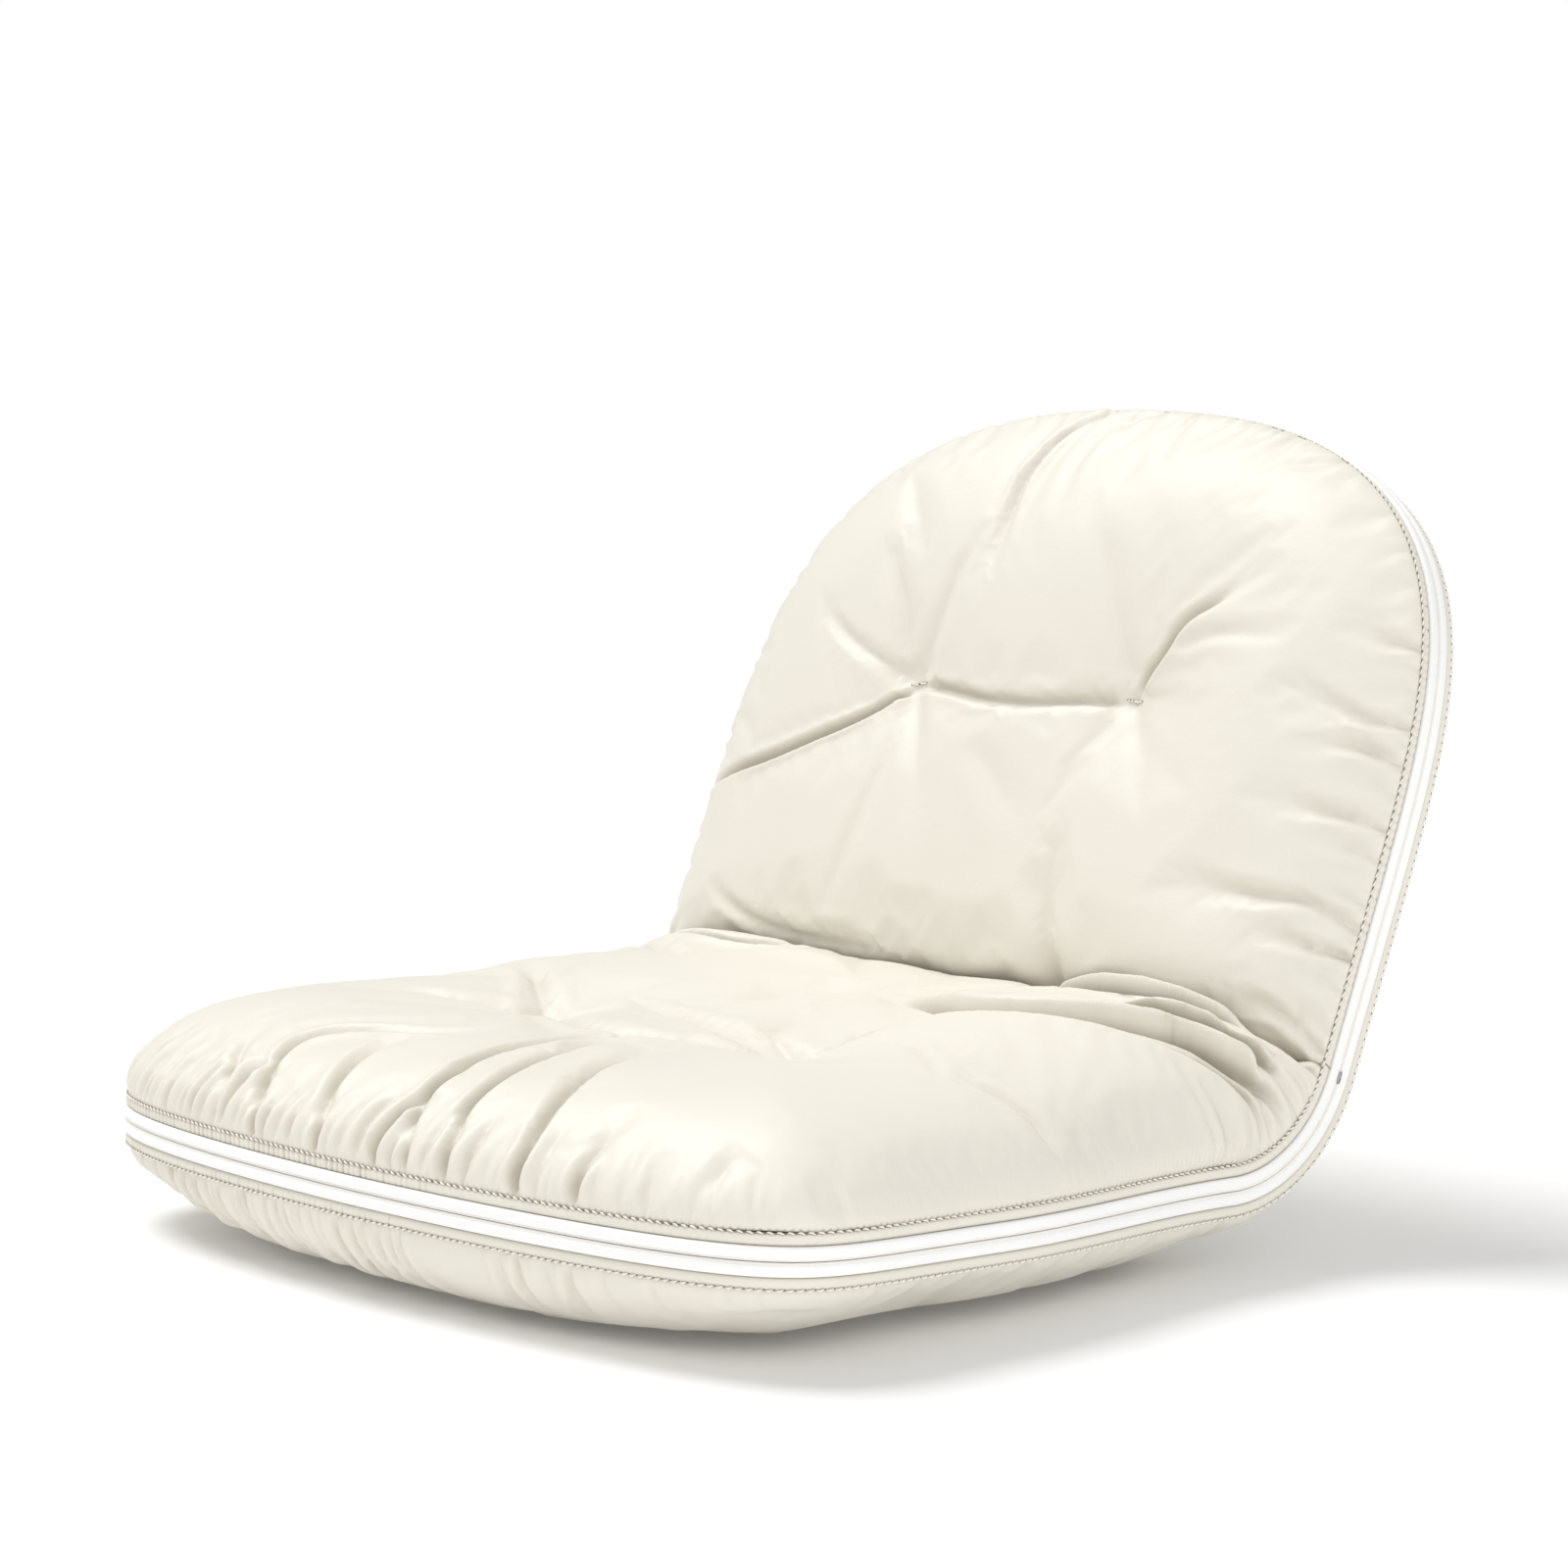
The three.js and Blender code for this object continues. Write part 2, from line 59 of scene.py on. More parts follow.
# --- the flattened shell: x across, s along it from the seat's front, n off it (metres) ------
MM = 0.001
TILT = math.radians(1.7)
TURN = math.radians(68.7)
RADIUS = 0.076
SEAT_LENGTH = 0.323
BACK_LENGTH = 0.322
FRONT_HEIGHT = 0.052
BEND_END = SEAT_LENGTH + RADIUS * TURN
TOTAL = BEND_END + BACK_LENGTH
FRONT_ROUND = {"length": 0.157, "across": 1.8, "along": 7.5, "half": 0.250}
TOP_ROUND = {"length": 0.266, "across": 2.4, "along": 3.9, "half": 0.232}
CREASE = 0.414
BEND_CENTRE = frame["record"]["behaviour"]["joints"][0]["pos_m"]
SEAT_TUFTS = (0.088, 0.184)
BACK_TUFTS = (0.076, 0.574)
PINCH_X = 0.077
SCREWS = [(x, s) for x in (-0.080, 0.080) for s in (0.090, 0.290)]
SCREW_HOLE = 0.005
SLIDER_S = 0.412
RIM_N = 0.0115                      # height of a cover's edge off the middle surface
LEATHER = 0.0012
STITCH_PITCH = 0.0042


def ease(t):
    t = np.clip(t, 0, 1)
    return t * t * (3 - 2 * t)


def shell(x, s, n, follow=1.0):
    """Places points of the flattened shell in space. follow < 1 lets n lag behind the bend."""
    x, s, n, follow = np.broadcast_arrays(*(np.asarray(v, float) for v in (x, s, n, follow)))
    bend = np.clip((s - SEAT_LENGTH) / RADIUS, 0, TURN)
    a = bend - TILT
    up = follow * bend - TILT
    run = np.minimum(s - SEAT_LENGTH, 0) + np.maximum(s - BEND_END, 0)
    y = BEND_CENTRE[1] + RADIUS * np.sin(a) + run * np.cos(a) - n * np.sin(up)
    z = BEND_CENTRE[2] - RADIUS * np.cos(a) + run * np.sin(a) + n * np.cos(up)
    return np.stack([x, y, z], -1)


def rounded_end(t, shape):
    t = np.clip(t / shape["length"], 0, 1)
    return shape["half"] * (1 - (1 - t) ** shape["along"]) ** (1 / shape["across"])


def half_width(s):
    taper = ease((s - FRONT_ROUND["length"]) / (SEAT_LENGTH - FRONT_ROUND["length"]))
    side = FRONT_ROUND["half"] + (TOP_ROUND["half"] - FRONT_ROUND["half"]) * taper
    side = np.where(s < FRONT_ROUND["length"], rounded_end(s, FRONT_ROUND), side)
    return np.where(TOTAL - s < TOP_ROUND["length"], rounded_end(TOTAL - s, TOP_ROUND), side)


# --- flat curves ----------------------------------------------------------------------------
def resample(points, pitch, closed):
    """Even steps along a polyline."""
    if closed:
        points = np.vstack([points, points[:1]])
    length = np.r_[0, np.cumsum(np.linalg.norm(np.diff(points, axis=0), axis=1))]
    count = max(int(round(length[-1] / pitch)), 2)
    at = np.linspace(0, length[-1], count + 1)
    even = np.stack([np.interp(at, length, points[:, k]) for k in (0, 1)], 1)
    return even[:-1] if closed else even


def outline(pitch):
    """The pad's edge, counter-clockwise from the front's middle."""
    s = TOTAL * (0.5 - 0.5 * np.cos(np.linspace(0, np.pi, 4000)))
    right = np.stack([half_width(s), s], 1)
    left = right[::-1][1:-1] * (-1, 1)
    return resample(np.vstack([right, left]), pitch, True)


def outward(points):
    along = np.roll(points, -1, 0) - np.roll(points, 1, 0)
    out = np.stack([along[:, 1], -along[:, 0]], 1)
    return out / np.linalg.norm(out, axis=1, keepdims=True)


def nearest_on(points, line, closed=True):
    """Distance to a polyline, the arc position of the nearest point, and the side it is on."""
    ends = np.roll(line, -1, 0) if closed else line[1:]
    starts = line if closed else line[:-1]
    along = ends - starts
    length = np.linalg.norm(along, axis=1)
    travelled = np.r_[0, np.cumsum(length)[:-1]]
    gap = np.full(len(points), np.inf)
    foot = np.zeros(len(points))
    side = np.zeros(len(points))
    for a, v, size, before in zip(starts, along, length, travelled):
        rel = points - a
        t = np.clip(rel @ v / size ** 2, 0, 1)
        distance = np.hypot(*(rel - t[:, None] * v).T)
        closer = distance < gap
        gap[closer] = distance[closer]
        foot[closer] = before + t[closer] * size
        side[closer] = np.sign(v[0] * rel[closer, 1] - v[1] * rel[closer, 0] + 1e-12)
    return gap, foot, side


def inside_box(points, line, margin):
    """Which points are no further than margin outside a polyline's box."""
    return ((points > line.min(0) - margin) & (points < line.max(0) + margin)).all(1)


RIM = outline(0.003)
RIM_LENGTH = np.linalg.norm(np.roll(RIM, -1, 0) - RIM, axis=1).sum()


def rim_distance(points):
    return nearest_on(points, RIM)[0]


# --- meshes ---------------------------------------------------------------------------------
def new_piece(name, vertices, faces, material, slot, body="pad"):
    mesh = bpy.data.meshes.new(name)
    mesh.from_pydata(np.asarray(vertices).reshape(-1, 3).tolist(), [], faces)
    mesh.validate()
    mesh.polygons.foreach_set("use_smooth", [True] * len(mesh.polygons))
    mesh.materials.append(material)
    piece = bpy.data.objects.new(name, mesh)
    bpy.context.scene.collection.objects.link(piece)
    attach(piece, body)
    return piece


def ring_faces(rings, sides, closed_rings=True, first=0):
    """Quads over a stack of rings, each a closed loop of the same number of vertices."""
    def corner(i, k):
        return first + (i % rings) * sides + k % sides

    last = rings if closed_rings else rings - 1
    return [(corner(i, k), corner(i + 1, k), corner(i + 1, k + 1), corner(i, k + 1))
            for i in range(last) for k in range(sides)]


def edge_sweep(section, pitch, shift=None):
    """A closed bead round the whole edge. section lists its (out, n) corners; shift gives the
    (out, n) by which corner k moves at each station."""
    points = outline(pitch)
    out = outward(points)
    rings = []
    for k, (o, n) in enumerate(section):
        more_o, more_n = shift(k, points) if shift else (0, 0)
        q = points + out * np.reshape(np.broadcast_to(o + more_o, len(points)), (-1, 1))
        rings.append(shell(q[:, 0], q[:, 1], n + more_n))
    return np.stack(rings, 1), ring_faces(len(points), len(section))


def rounded(o, n, half_o, half_n, sides, power=1.0):
    """A closed section: an ellipse at power 1, squarer below it."""
    a = 2 * np.pi * (np.arange(sides) + 0.5) / sides
    cos, sin = (np.sign(v) * np.abs(v) ** power for v in (np.cos(a), np.sin(a)))
    return np.stack([o + half_o * cos, n + half_n * sin], 1).tolist()


def capsules(starts, ends, lift, radius, flat=1.0, rings=5, sides=6):
    """Small threads from starts to ends, bowed along lift, thinner where they dip in."""
    along = ends - starts
    along /= np.linalg.norm(along, axis=1, keepdims=True)
    up = lift / np.linalg.norm(lift, axis=1, keepdims=True)
    across = np.cross(along, up)
    t = np.linspace(0, 1, rings)[None, :, None, None]
    a = 2 * np.pi * np.arange(sides) / sides
    bow = np.sin(np.pi * t)
    centre = starts[:, None, None] + (ends - starts)[:, None, None] * t + lift[:, None, None] * bow
    size = radius * (0.45 + 0.55 * np.sqrt(np.clip(bow, 0, 1)))
    ring = (across[:, None, None] * np.cos(a)[None, None, :, None]
            + flat * up[:, None, None] * np.sin(a)[None, None, :, None])
    vertices = centre + ring * size
    block = rings * sides
    faces = []
    for i in range(len(starts)):
        first = i * block
        faces += ring_faces(rings, sides, False, first)
        faces.append(tuple(first + k for k in range(sides))[::-1])
        faces.append(tuple(first + block - sides + k for k in range(sides)))
    return vertices, faces


# --- materials ------------------------------------------------------------------------------
def srgb(r, g, b):
    """An 8-bit screen colour as linear RGBA."""
    def linear(v):
        v /= 255
        return v / 12.92 if v <= 0.04045 else ((v + 0.055) / 1.055) ** 2.4
    return (linear(r), linear(g), linear(b), 1)


def material(name, light, dark, roughness, patch=14.0, relief=None, stretch=(1, 1, 1), **sockets):
    """Two colours mixed by a noise. relief lists (texture, scale, height in mm) bumps."""
    m = bpy.data.materials.new(name)
    m.use_nodes = True
    nodes, links = m.node_tree.nodes, m.node_tree.links
    shader = nodes["Principled BSDF"]
    shader.inputs["Roughness"].default_value = roughness
    for socket, value in sockets.items():
        shader.inputs[socket.replace("_", " ")].default_value = value
    place = nodes.new("ShaderNodeTexCoord")
    mapping = nodes.new("ShaderNodeMapping")
    mapping.inputs["Scale"].default_value = stretch
    links.new(place.outputs["Object"], mapping.inputs["Vector"])
    patches = nodes.new("ShaderNodeTexNoise")
    patches.inputs["Scale"].default_value = patch
    patches.inputs["Detail"].default_value = 4
    links.new(mapping.outputs["Vector"], patches.inputs["Vector"])
    mix = nodes.new("ShaderNodeMix")
    mix.data_type = "RGBA"
    mix.inputs["A"].default_value = light
    mix.inputs["B"].default_value = dark
    links.new(patches.outputs["Fac"], mix.inputs["Factor"])
    links.new(mix.outputs["Result"], shader.inputs["Base Color"])
    normal = None
    for kind, scale, height in relief or ():
        texture = nodes.new(f"ShaderNodeTex{kind}")
        texture.inputs["Scale"].default_value = scale
        links.new(mapping.outputs["Vector"], texture.inputs["Vector"])
        bump = nodes.new("ShaderNodeBump")
        bump.inputs["Strength"].default_value = 1.0
        bump.inputs["Distance"].default_value = height * MM
        links.new(texture.outputs[0], bump.inputs["Height"])
        if normal:
            links.new(normal, bump.inputs["Normal"])
        normal = bump.outputs["Normal"]
    if normal:
        links.new(normal, shader.inputs["Normal"])
    return m


def shade_creases(m, colour, reach):
    """Paints shade into folds: mixes in a darker colour where an ambient-occlusion node finds the
    leather hemmed in.
    """
    nodes, links = m.node_tree.nodes, m.node_tree.links
    base = nodes["Principled BSDF"].inputs["Base Color"]
    # painted shade: the occlusion node darkens the leather in creases and hollows
    crease_shade_ao = nodes.new("ShaderNodeAmbientOcclusion")
    crease_shade_ao.samples = 6
    crease_shade_ao.inputs["Distance"].default_value = reach
    amount = nodes.new("ShaderNodeMapRange")
    amount.inputs["From Min"].default_value = 0.95
    amount.inputs["From Max"].default_value = 0.35
    mix = nodes.new("ShaderNodeMix")
    mix.data_type = "RGBA"
    mix.inputs["B"].default_value = colour
    links.new(crease_shade_ao.outputs["AO"], amount.inputs["Value"])
    links.new(amount.outputs["Result"], mix.inputs["Factor"])
    links.new(base.links[0].from_socket, mix.inputs["A"])
    links.new(mix.outputs["Result"], base)
    return m


def leather(name):
    return material(name, srgb(238, 234, 222), srgb(233, 228, 216), 0.48, 9.0,
                    [("Voronoi", 1100, 0.03), ("Noise", 340, 0.06)], Specular_IOR_Level=0.42)


MATERIALS = {
    "cream_leather": leather("cream_leather"),
    "white_welt": material(
        "white_welt", srgb(255, 255, 254), srgb(252, 252, 250), 0.42, 20.0,
        [("Voronoi", 1500, 0.01)], Specular_IOR_Level=0.4),
    "thread": material(
        "thread", srgb(255, 252, 244), srgb(246, 241, 230), 0.70, 900.0, [("Noise", 2500, 0.08)]),
    "zip_tape": material(
        "zip_tape", srgb(253, 251, 246), srgb(247, 244, 237), 0.85, 500.0,
        [("Checker", 1600, 0.05)]),
    "zip_coil": material(
        "zip_coil", srgb(238, 233, 222), srgb(222, 217, 205), 0.35, 300.0, [("Wave", 380, 0.08)]),
    "zinc": material(
        "zinc", srgb(214, 214, 212), srgb(192, 192, 190), 0.42, 700.0, [("Noise", 1800, 0.01)],
        Metallic=1.0),
    "nylon": material(
        "nylon", srgb(222, 220, 212), srgb(210, 208, 199), 0.55, 120.0, [("Noise", 900, 0.02)]),
    "wadding": material(
        "wadding", srgb(250, 250, 247), srgb(236, 236, 232), 1.0, 260.0,
        [("Noise", 160, 1.2), ("Noise", 900, 0.3)]),
    "foam": material(
        "foam", srgb(243, 229, 178), srgb(228, 210, 150), 0.95, 60.0, [("Voronoi", 700, 0.5)]),
    "plywood": material(
        "plywood", srgb(214, 178, 128), srgb(176, 134, 86), 0.6, 22.0, [("Noise", 60, 0.15)],
        (1.0, 12.0, 12.0)),
}
# quilted_leather is the cream leather with painted shade mixed into its creases and hollows
MATERIALS["quilted_leather"] = shade_creases(
    leather("quilted_leather"), srgb(194, 187, 173), 0.010)
# flange_leather is the cream leather with painted shade in the puckers along its stitching
MATERIALS["flange_leather"] = shade_creases(
    leather("flange_leather"), srgb(188, 180, 165), 0.0022)
# needle_hole colours dark beads that paint the shade inside needle holes; the flange joins use it
# for their dark seam line
NEEDLE_HOLE = material("needle_hole", srgb(158, 149, 134), srgb(132, 124, 110), 0.9, 900.0)


# --- soft panels: layout --------------------------------------------------------------------
def panel_outline(crease, above):
    """The part of the edge above or below the crease, closed along the crease."""
    rim = outline(0.0015)
    kept = rim[:, 1] > crease if above else rim[:, 1] < crease
    first = np.flatnonzero(kept & ~np.roll(kept, 1))[0]
    arc = np.roll(rim, -first, 0)[:kept.sum()]
    start = np.array((math.copysign(float(half_width(crease)), arc[0, 0]), crease))
    end = start * (-1, 1)
    arc = resample(np.vstack([start, arc, end]), 0.0032, False)
    seam = resample(np.vstack([end, start]), 0.0040, False)
    return np.vstack([arc[:-1], seam[:-1]])


def lattice(edge, pitch, margin):
    """Evenly spread points inside an outline."""
    low, high = edge.min(0), edge.max(0)
    rows = np.arange(low[1], high[1], pitch * 0.866)
    points = np.array([(x + (k % 2) * pitch / 2, s) for k, s in enumerate(rows)
                       for x in np.arange(low[0], high[0], pitch)])
    gap, _, side = nearest_on(points, edge)
    return points[(side > 0) & (gap > margin)]


RING_DEPTHS = (0.0001, 0.0004, 0.0010, 0.0019, 0.0032, 0.0048, 0.0069, 0.0092)
NEAR_CREASE = 0.008                 # triangles are half as wide this close to a crease


def triangulate(edge, pitch, holes=(), radius=SCREW_HOLE, creases=()):
    """Fills a closed outline with even triangles, closer together near the edge and creases."""
    inward = -outward(edge)
    layers = [edge]
    for k, depth in enumerate(RING_DEPTHS):
        ring = edge + inward * depth
        ring = (ring + np.roll(ring, -1, 0)) / 2 if k % 2 == 0 else ring
        gap, _, side = nearest_on(ring, edge)
        layers.append(ring[(gap > 0.9 * depth) & (side > 0)])
    margin = RING_DEPTHS[-1] + 0.5 * pitch
    coarse = lattice(edge, pitch, margin)
    if creases:
        fine = lattice(edge, pitch / 2, margin)
        for points, near in ((coarse, False), (fine, True)):
            gap = np.full(len(points), np.inf)
            for line in creases:
                around = inside_box(points, line, NEAR_CREASE + MM)
                gap[around] = np.minimum(gap[around], nearest_on(points[around], line, False)[0])
            layers.append(points[(gap < NEAR_CREASE) == near])
    else:
        layers.append(coarse)
    points = np.vstack(layers)
    rings = []
    for hole in holes:
        points = points[np.hypot(*(points - hole).T) > radius + 0.0022]
        a = 2 * np.pi * np.arange(20) / 20
        rings.append(np.array(hole) + radius * np.stack([np.cos(a), np.sin(a)], 1))
    points = np.vstack([points, *rings])
    loop = [(i, (i + 1) % len(edge)) for i in range(len(edge))]
    vertices, _, faces, *_ = delaunay_2d_cdt([Vector(p) for p in points], loop, [], 1, 1e-7)
    vertices = np.array([tuple(v) for v in vertices])
    faces = np.array([tuple(f) for f in faces])
    for hole in holes:
        faces = faces[np.hypot(*(vertices[faces].mean(1) - hole).T) > radius]
    return vertices, faces


def crown(d, reach, p, q):
    """0 at an edge, 1 once d passes reach: the rounded shoulder of a stuffed panel."""
    t = np.clip(d / reach, 0, 1)
    return (1 - (1 - t) ** p) ** (1 / q)


def tuft_pull(x, s, tufts, depth, reach):
    return depth * np.exp(-np.hypot(np.abs(x) - tufts[0], s - tufts[1]) / reach)


def pinch(x, s, depth):
    """The tug in the crease to the right of the middle, where the bunched folds start."""
    return depth * np.exp(-((x - PINCH_X) / 0.010) ** 2 - ((s - CREASE) / 0.020) ** 2)


def seat_field(x, s, d):
    """Height of the seat cover and how far its uprights follow the bend."""
    side_rise = 0.010 * np.clip((s - 0.20) / 0.15, 0, 1) ** 2 * ease(np.abs(x) / 0.20)
    top = 0.0605 + 0.05 * (s - 0.060) + side_rise - 0.006 * ease((s - 0.24) / 0.12)
    rear = crown(CREASE - s, 0.09, 2.2, 1.8)
    n = RIM_N + (top - RIM_N) * crown(d, 0.11, 2.6, 2.1) * rear
    n -= 0.006 * np.exp(-(x / 0.12) ** 2 - ((s - 0.22) / 0.11) ** 2)
    n -= tuft_pull(x, s, SEAT_TUFTS, 0.016, 0.030)
    n -= pinch(x, s, 0.013)
    return n, 0.55 + 0.45 * ease((s - CREASE + 0.025) / 0.025)


def back_field(x, s, d):
    n = RIM_N + 0.0370 * crown(d, 0.12, 2.2, 1.5) * crown(s - CREASE, 0.04, 2.0, 2.0)
    n -= tuft_pull(x, s, BACK_TUFTS, 0.013, 0.030) * crown(d, 0.06, 2, 2)
    return n - pinch(x, s, 0.008), 1.0


def outer_field(x, s, d):
    """Depth of the outer cover: deep at the front, shallow at the sides, thin behind."""
    floor = FRONT_HEIGHT + 0.0015 - s * math.sin(TILT)
    corner = np.exp(-((np.abs(x) - 0.24) ** 2 + (s - 0.06) ** 2) / (2 * 0.06 ** 2))
    side = 0.050 - 0.018 * ease(s / 0.16)
    under = RIM_N + (side - RIM_N) * crown(d, 0.07 + 0.15 * corner, 2.6, 2.0)
    under += np.maximum(floor - side, 0) * ease(d / 0.15)
    behind = RIM_N + (0.020 - RIM_N) * crown(d, 0.10, 2.6, 2.0)
    return -(under + (behind - under) * ease((s - 0.27) / 0.15)), 1.0


# --- folds ----------------------------------------------------------------------------------
def smooth_line(points, per_span=8):
    """A Catmull-Rom curve through given points (millimetres in, metres out)."""
    p = np.array(points, float) * MM
    p = np.vstack([2 * p[0] - p[1], p, 2 * p[-1] - p[-2]])
    t = np.linspace(0, 1, per_span, endpoint=False)[:, None]
    spans = [0.5 * (2 * b + (c - a) * t + (2 * a - 5 * b + 4 * c - d) * t ** 2
                    + (3 * b - a - 3 * c + d) * t ** 3)
             for a, b, c, d in zip(p, p[1:], p[2:], p[3:])]
    return np.vstack(spans + [p[-2:-1]])


def valley(u):
    """Cross-section of a crease: a sharp valley between two soft rolls; u is in half-widths."""
    u = np.abs(u)
    return -np.exp(-u ** 1.2) + 0.32 * np.exp(-((u - 2.2) / 1.1) ** 2)


FOLD_REACH = 0.030                  # a crease moves nothing further away than this


def fold(points, depth, width, start, end, *line):
    """Offset of a cover's face along one crease through the points of line (mm). start and
    end are the shares of its length over which it fades in and out."""
    path = smooth_line(line)
    offset = np.zeros(len(points))
    around = inside_box(points, path, FOLD_REACH)
    gap, foot, _ = nearest_on(points[around], path, closed=False)
    t = foot / np.linalg.norm(np.diff(path, axis=0), axis=1).sum()
    fade = np.ones(len(t))
    if start:
        fade *= ease(t / start)
    if end:
        fade *= ease((1 - t) / end)
    beyond = ((t <= 0) | (t >= 1)) & (gap > width * MM)
    reach = width * MM * (0.65 + 0.7 * t)
    offset[around] = np.where(beyond, 0, depth * MM * fade * valley(gap / reach))
    return offset


def roll(points, height, rise, tail, start, end, *line):
    """Offset of a face behind a line (mm): a groove, then a steep roll falling gently away.
    The roll is on the line's left; rise and tail are its lengths in mm."""
    path = smooth_line(line)
    gap, foot, side = nearest_on(points, path, closed=False)
    length = np.linalg.norm(np.diff(path, axis=0), axis=1).sum()
    v = gap * side / MM
    up = ease(v / rise) * np.exp(-np.maximum(v - rise, 0) / tail)
    groove = 1.1 * np.exp(-((v + 1) / 3.0) ** 2)
    fade = ease((foot - 0.6 * gap) / (start * length))
    fade *= ease((length - foot - 0.6 * gap) / (end * length))
    return height * MM * fade * (up - groove)


def fold_lines(folds, rolls):
    return [smooth_line(line) for _, _, _, _, *line in folds] + [
        smooth_line(line) for _, _, _, _, _, *line in rolls]


SEAT_ROLLS = [
    # height, rise, tail, fade in, fade out, then the points of the roll's foot
    # the front bulge's rear edge, which rolls over towards the bend
    (8, 5, 26, 0.06, 0.35, (230, 350), (220, 334), (208, 316), (192, 298), (168, 280), (136, 264),
     (108, 248), (92, 222), (90, 196)),
    # the two rolls that fan out of the pinch to the bend's side
    (10, 5, 22, 0.35, 0.05, (10, 304), (56, 296), (100, 280), (138, 286), (170, 304), (194, 324),
     (212, 344), (230, 368)),
    (10, 4, 10, 0.38, 0.45, (72, 404), (92, 384), (124, 371), (156, 371), (184, 382), (206, 393),
     (231, 407)),
    (6, 4, 8, 0.3, 0.1, (150, 330), (180, 346), (204, 362), (226, 384)),
]
SEAT_FOLDS = [
    # depth, width, fade in, fade out, then the crease's points
    (4.5, 3, 0, 0.7, (-114, 2), (-120, 16), (-132, 32), (-148, 52)),
    (6.5, 3.5, 0, 0.6, (-79, 1), (-90, 16), (-99, 34), (-98, 50), (-80, 66), (-46, 80), (-12, 98)),
    (6, 3.5, 0, 0.7, (-30, 1), (-40, 18), (-48, 38), (-50, 58), (-42, 78)),
    (7, 3.5, 0, 0.6, (14, 1), (18, 12), (20, 28), (17, 53), (16, 88), (20, 135), (44, 160)),
    (5, 2.5, 0, 0.4, (36, 1), (29, 10), (24, 22), (22, 38), (24, 52)),
    (6.5, 3.5, 0, 0.6, (62, 1), (58, 10), (53, 24), (49, 44), (42, 76), (30, 118), (44, 152)),
    (6.5, 4, 0, 0.6, (109, 2), (104, 18), (96, 38), (84, 64), (70, 104), (54, 146)),
    (4.5, 3.5, 0, 0.6, (143, 4), (142, 14), (142, 24), (143, 38)),
    (2.5, 3.5, 0, 0.6, (180, 8), (182, 20), (184, 36)),
    (2.5, 3.5, 0, 0.6, (198, 14), (204, 28), (213, 48)),
    # round the tufts
    (4.5, 5, 0.3, 0, (-160, 230), (-124, 206), (-90, 184)),
    (4.5, 5.5, 0.4, 0, (-162, 140), (-134, 152), (-108, 168), (-90, 183)),
    (4.5, 5.5, 0.4, 0, (-76, 222), (-20, 207), (26, 196), (58, 188), (86, 184)),
    (3.5, 5.5, 0.2, 0.2, (-86, 182), (-40, 158), (0, 146), (40, 158), (86, 182)),
    (2.5, 6, 0, 0.5, (80, 190), (46, 209), (32, 246), (36, 268)),
    (2.5, 7, 0.3, 0.3, (-10, 246), (-24, 278), (-10, 298), (16, 306)),
    # the right-hand bulge and the bunching in the bend
    (2.5, 4, 0.3, 0.3, (208, 176), (220, 188), (234, 194), (246, 196)),
    (2.5, 2.5, 0.4, 0, (214, 308), (224, 313), (234, 316)),
    (2.5, 2.5, 0.4, 0, (206, 366), (218, 374), (231, 376)),
    (2, 3.5, 0.5, 0, (238, 52), (245, 66)),
    (8, 2.2, 0.3, 0.1, (100, 278), (138, 284), (170, 302), (194, 322), (212, 342), (229, 366)),
    (5, 2.2, 0.2, 0.1, (96, 382), (124, 369), (156, 369), (184, 380), (206, 391), (230, 405)),
    # the same bunching on the hidden side, weaker
    (3.5, 5, 0.4, 0.1, (-110, 300), (-160, 312), (-200, 334), (-230, 350)),
    (4.5, 5, 0.2, 0.1, (-90, 398), (-130, 360), (-180, 368), (-229, 392)),
    (2.5, 3.5, 0.4, 0, (-214, 250), (-228, 252), (-246, 256)),
]

